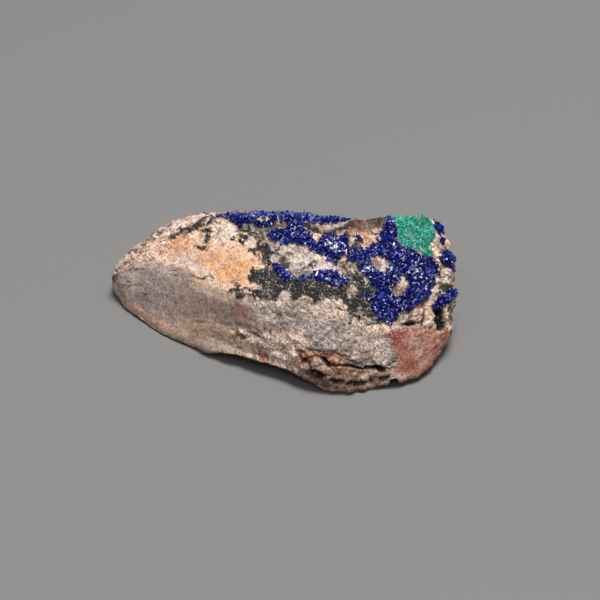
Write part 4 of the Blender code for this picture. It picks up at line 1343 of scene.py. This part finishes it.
azuriteCrystals = {
    "spacing": 0.46,  # mm between crystals
    "laidSpacing": 1.5,  # times that among the long crystals
    "groupSpacing": 0.8,  # and in the small groups
    "length": (0.75, 1.5),
    "width": (0.45, 1.4),
    "large": (0.14, 1.5),  # the share of large crystals, and their size
    "glints": (0.085, 0.9),  # share and size of the small crystals painted near white: painted glints and pale grains
    "glintTone": (0.965, 1.0),
    "flatness": (0.25, 0.65),  # thickness as a share of the width
    "tilt": 0.35,  # how far the tips slope either way
    "chisel": (0.15, 0.55),  # how far the tips are drawn in
    "rings": [(0.8, -0.5), (1, 0.25), (0.8, 0.48)],  # foot, shoulder, tip: share of the width, of the length
    "edge": (12, 0.45),  # how many passes blur the crust's edge, and how small the crystals are there
    "lean": 0.9,  # how far they follow the domes, and how far they stray
    "stray": 0.65,
    "tone": 0.6,  # place on the colour ramp
    "toneSpread": 0.2,
    "shadeBetweenDomes": 0.25,  # painted shade: how much darker they are painted between the domes
    "toneCrest": (0.3, 226, 212),  # how much paler along the crest, growing between two rows
    # single long crystals: their way in pixels right and down, their length and width in mm
    "laid": {
        "azurite_knob": ((7, 10), 2.1, 1.3),
        "azurite_blade": ((11, 10), 2.5, 1.4),
        "azurite_streak": ((12, 11), 1.9, 1.2),
    },
}


# Directions that lie along the surface and run the given way in the camera's frame: t = a*right - b*up
# + c*forward, with c such that t meets the normal at a right angle.
def laidAlong(ways, right, down):
    _, forward, sideways, up = cameraAxes()
    flat = right * sideways - down * up
    depth = -(ways @ flat) / np.minimum(ways @ forward, -0.25)
    along = flat + depth[:, None] * forward
    return along / np.linalg.norm(along, axis=1, keepdims=True)


# Azurite crystals: six-sided blades in three rings, foot, shoulder and a chisel tip whose ring is drawn
# in and tilted: r = half width * (0.8, 1, 0.8), with the tip flattened, z = length * (-0.5, 0.25, 0.48).
def addAzurite(node, share, seed):
    made = azuriteCrystals
    random = np.random.default_rng(seed)
    group = 1.0 if node == "azurite_crust" else made["groupSpacing"]
    loose = made["laidSpacing"] if node in made["laid"] else group
    places, ways, near = strewn(share, made["spacing"] * loose, seed)
    count = len(places)
    passes, smallest = made["edge"]
    inner = evened(np.repeat(share[:, None], 3, axis=1), [1.0] * passes)[near, 0]
    sized = smallest + (1 - smallest) * smoothStep(0.4, 0.95, inner)
    eye = cameraAxes()[0] - places
    facing = (ways * eye).sum(1) / np.linalg.norm(eye, axis=1)
    sized = sized * (0.6 + 0.4 * smoothStep(0.02, 0.3, facing))
    nearest, _, tag, away = cells(places, rockRelief["azuriteDome"][0], 200)
    across = away - (away * ways).sum(1, keepdims=True) * ways
    axes = ways + made["lean"] * across + made["stray"] * random.normal(size=ways.shape)
    if node in made["laid"]:
        axes = laidAlong(ways, *made["laid"][node][0]) + 0.25 * ways + 0.12 * random.normal(size=ways.shape)
    # painted glints and pale grains: a few crystals, clustered by noise, are painted near white
    pale = random.random(count) < made["glints"][0] * 3 * smoothStep(0.0, 0.5, cloud(places, 2.4, 274, 2))
    length = random.uniform(*made["length"], count)[:, None]
    low, high = made["width"]
    width = (low + (high - low) * random.random(count) ** 1.8)[:, None] / 2
    large = np.where(random.random(count) < made["large"][0], made["large"][1], 1.0)
    width = width * (sized * np.where(pale, made["glints"][1], large))[:, None]
    length = length * (0.5 + 0.5 * sized)[:, None]
    if node in made["laid"]:
        length, width = length * 0.4 + made["laid"][node][1] * 0.6, width * 0.4 + made["laid"][node][2] * 0.28
    flat = random.uniform(*made["flatness"], count)[:, None]
    turn = np.arange(6)[None] * np.pi / 3 + random.uniform(-0.2, 0.2, (count, 6))
    chisel = random.uniform(*made["chisel"], (count, 1))
    rings = []
    for k, (r, high) in enumerate(made["rings"]):
        atTip = k == len(made["rings"]) - 1
        x = np.cos(turn) * width * r
        y = np.sin(turn) * width * flat * r * (chisel if atTip else 1)
        tilt = random.uniform(-made["tilt"], made["tilt"], (count, 1)) if atTip else 0.0
        rings.append(np.stack([x, y, high * length + tilt * x], axis=-1))
    shapes = np.concatenate(rings, axis=1)
    tone = made["tone"] + made["toneSpread"] * (random.normal(size=count) + tag - 0.5)
    # painted shade: crystals between the domes are toned darker
    tone += 0.25 * cloud(places, 2.6, 250, 2) - made["shadeBetweenDomes"] * smoothStep(0.35, 0.75, nearest)
    paler, lower, upper = made["toneCrest"]
    tone += paler * smoothStep(lower, upper, toPixels(places)[:, 1])
    tone = np.where(pale, random.uniform(*made["glintTone"], count), np.clip(tone, 0, 0.91))
    piece = swarm(node + "_crystals", shapes, ringFaces(3, 6), places, framesOn(axes, random), tone)
    addPiece(piece, azuriteGlass, [node], False)
    print(node, count, "crystals")


malachiteNeedles = {
    "spacing": 0.16,  # mm between needles
    "length": (0.6, 1.25),
    "thickness": (0.05, 0.1),
    "rings": [(1.0, -0.3), (0.35, 0.7)],  # foot and tip: share of the thickness, of the length
    "spray": 2.6,  # mm between the middles of the sprays
    "rise": 0.55,  # how steeply they stand, and how far they stray
    "stray": 0.28,
    "tone": (0.5, 0.17),  # place on the colour ramp, and how it varies
    "sheenStreak": patch([(408, 235), (416, 243), (423, 250)], 3.0),  # painted sheen: where they are painted paler, and by how much
    "sheenStreakTone": 0.35,
}


# Malachite needles: three-sided spikes that lean away from the middle of their spray:
# r = thickness * (1, 0.35), z = length * (-0.3, 0.7).
def addMalachite(node, share, seed):
    made = malachiteNeedles
    random = np.random.default_rng(seed)
    places, ways, _ = strewn(share, made["spacing"], seed)
    count = len(places)
    spray = cells(places, made["spray"], 230)[3]
    spray /= np.linalg.norm(spray, axis=1, keepdims=True)
    axes = made["rise"] * ways + spray + made["stray"] * random.normal(size=ways.shape)
    length = random.uniform(*made["length"], count)[:, None]
    width = random.uniform(*made["thickness"], count)[:, None]
    turn = np.arange(3)[None] * 2 * np.pi / 3 + np.zeros((count, 1))
    rings = [np.stack([np.cos(turn) * width * r, np.sin(turn) * width * r, high * length + 0 * turn], axis=-1)
             for r, high in made["rings"]]
    # painted sheen: needles along the streak are toned paler, as a sheen highlight
    sheenStreak = edgeDepth(toPixels(places), made["sheenStreak"])
    tone = made["tone"][0] + made["tone"][1] * random.normal(size=count) + 0.25 * cloud(places, 1.4, 240, 2)
    tone = np.clip(tone + made["sheenStreakTone"] * smoothStep(-1.5, 1.0, sheenStreak), 0, 1)
    piece = swarm(node + "_needles", np.concatenate(rings, axis=1), ringFaces(2, 3), places,
                  framesOn(axes, random), tone)
    addPiece(piece, malachiteSilk, [node], False)
    print(node, count, "needles")


# The twelve corners and twenty faces of an icosahedron of radius 1.
def lumpTemplate():
    golden = (1 + 5 ** 0.5) / 2
    corners = np.array([(-1, golden, 0), (1, golden, 0), (-1, -golden, 0), (1, -golden, 0),
                        (0, -1, golden), (0, 1, golden), (0, -1, -golden), (0, 1, -golden),
                        (golden, 0, -1), (golden, 0, 1), (-golden, 0, -1), (-golden, 0, 1)])
    faces = np.array([(0, 11, 5), (0, 5, 1), (0, 1, 7), (0, 7, 10), (0, 10, 11), (1, 5, 9), (5, 11, 4),
                      (11, 10, 2), (10, 7, 6), (7, 1, 8), (3, 9, 4), (3, 4, 2), (3, 2, 6), (3, 6, 8),
                      (3, 8, 9), (4, 9, 5), (2, 4, 11), (6, 2, 10), (8, 6, 7), (9, 8, 1)])
    return corners / np.linalg.norm(corners[0]), faces


oxideGrains = {
    "spacing": 0.2,  # mm between grains
    "radius": (0.08, 0.25),
    "pull": 0.28,  # how far each corner is pulled in or out
    "squash": 0.6,  # the least share of a grain's size that is left each way
    # place on the colour ramp, how it varies from place to place and from grain to grain
    "tone": {"oxide_crust_front": 0.42, "oxide_crust_left": 0.43, "oxide_patch_upper": 0.42,
             "oxide_patch_left": 0.44},
    "toneDrift": 0.55,
    "toneSpread": 0.28,
    "pale": (0.015, 0.92),  # the share of pale grains, and their tone
}


# Oxide grains: icosahedra whose corners are pulled in and out at random and squashed unevenly:
# corner * (1 + pull) * squash * radius.
def addOxide(node, share, seed):
    made = oxideGrains
    random = np.random.default_rng(seed)
    places, ways, _ = strewn(share, made["spacing"], seed)
    count = len(places)
    sizes = random.uniform(*made["radius"], count)
    tone = made["tone"][node] + made["toneDrift"] * cloud(places, 1.0, 260, 3)
    tone += made["toneSpread"] * random.normal(size=count)
    paleShare, paleTone = made["pale"]
    tone = np.clip(np.where(random.random(count) < paleShare, paleTone, tone), 0, paleTone)
    corners, faces = lumpTemplate()
    pull = 1 + random.uniform(-made["pull"], made["pull"], (count, 12, 1))
    shapes = corners[None] * pull * random.uniform(made["squash"], 1.0, (count, 1, 3)) * sizes[:, None, None]
    piece = swarm(node + "_grains", shapes, [faces], places, framesOn(ways, random), tone)
    addPiece(piece, oxideBlack, [node], False)
    print(node, count, "grains")


# The rock's own skin, with the minerals' colours laid under them.
def addRock():
    under = colours.copy()
    for name, share in (("underOxide", oxideAll), ("underAzurite", azuriteAll),
                        ("underMalachite", malachite)):
        under += (linear(rockPaint[name]) - under) * share[:, None]
    piece = makeMesh("host_rock", skin, *rockFaces())
    giveNumbers(piece, "paint", np.clip(under, 0, 1))
    giveNumbers(piece, "grain", grainy * (0.25 + 0.75 * smoothStep(0.01, 0.12, under.mean(1))))
    addPiece(piece, sandstone, ["matrix"], True)
    print("host rock", len(skin), "points")


addRock()
for seed, (node, share) in enumerate(azurite.items()):
    addAzurite(node, share * (1 - malachite), 300 + seed)
addMalachite("malachite_tuft", malachite, 400)
for seed, (node, share) in enumerate(oxide.items()):
    addOxide(node, share * (1 - azuriteAll) * (1 - malachite), 500 + seed)


studio = {
    "floor": "#7d7c7b",
    "floorSize": 6.0,  # m
    "world": 0.14,
    "lights": [
        # place and size in mm, strength in watts
        dict(name="overhead", place=(170, -70, 1500), size=620, power=26.8),
        dict(name="front", place=(-100, -1100, 1300), size=600, power=0.9),
        dict(name="sparkLeft", place=(-260, -300, 700), size=70, power=0.35),
        dict(name="sparkRight", place=(350, -100, 720), size=70, power=0.35),
        dict(name="sparkFront", place=(20, -520, 600), size=70, power=0.3),
    ],
}


# A floor, a grey sky for an even fill, a broad soft light overhead, a weak one in front, and three small
# bright ones that the crystal faces catch.
def addStudio():
    scene = bpy.context.scene
    scene.view_settings.view_transform = "Standard"
    half = studio["floorSize"] / 2 / mm
    corners = np.array([(-half, -half, 0), (half, -half, 0), (half, half, 0), (-half, half, 0)])
    floor = makeMesh("floor", corners, np.array([(0, 1, 2, 3)]))
    paper, tree = newMaterial("matt paper")
    shader = addNode(tree, "ShaderNodeBsdfPrincipled", {
        "Base Color": rgba(studio["floor"]), "Roughness": 0.95, "Specular IOR Level": 0.1})
    finishMaterial(tree, shader)
    floor.data.materials.append(paper)
    world = bpy.data.worlds.new("studio")
    world.use_nodes = True
    world.node_tree.nodes["Background"].inputs["Color"].default_value = (1, 1, 1, 1)
    world.node_tree.nodes["Background"].inputs["Strength"].default_value = studio["world"]
    scene.world = world
    for row in studio["lights"]:
        light = bpy.data.lights.new(row["name"], "AREA")
        light.shape, light.size, light.energy = "DISK", row["size"] * mm, row["power"]
        lamp = bpy.data.objects.new(row["name"], light)
        scene.collection.objects.link(lamp)
        lamp.location = Vector(row["place"]) * mm
        lamp.rotation_euler = (-lamp.location).to_track_quat("-Z", "Y").to_euler()


addStudio()
print("studio lit")
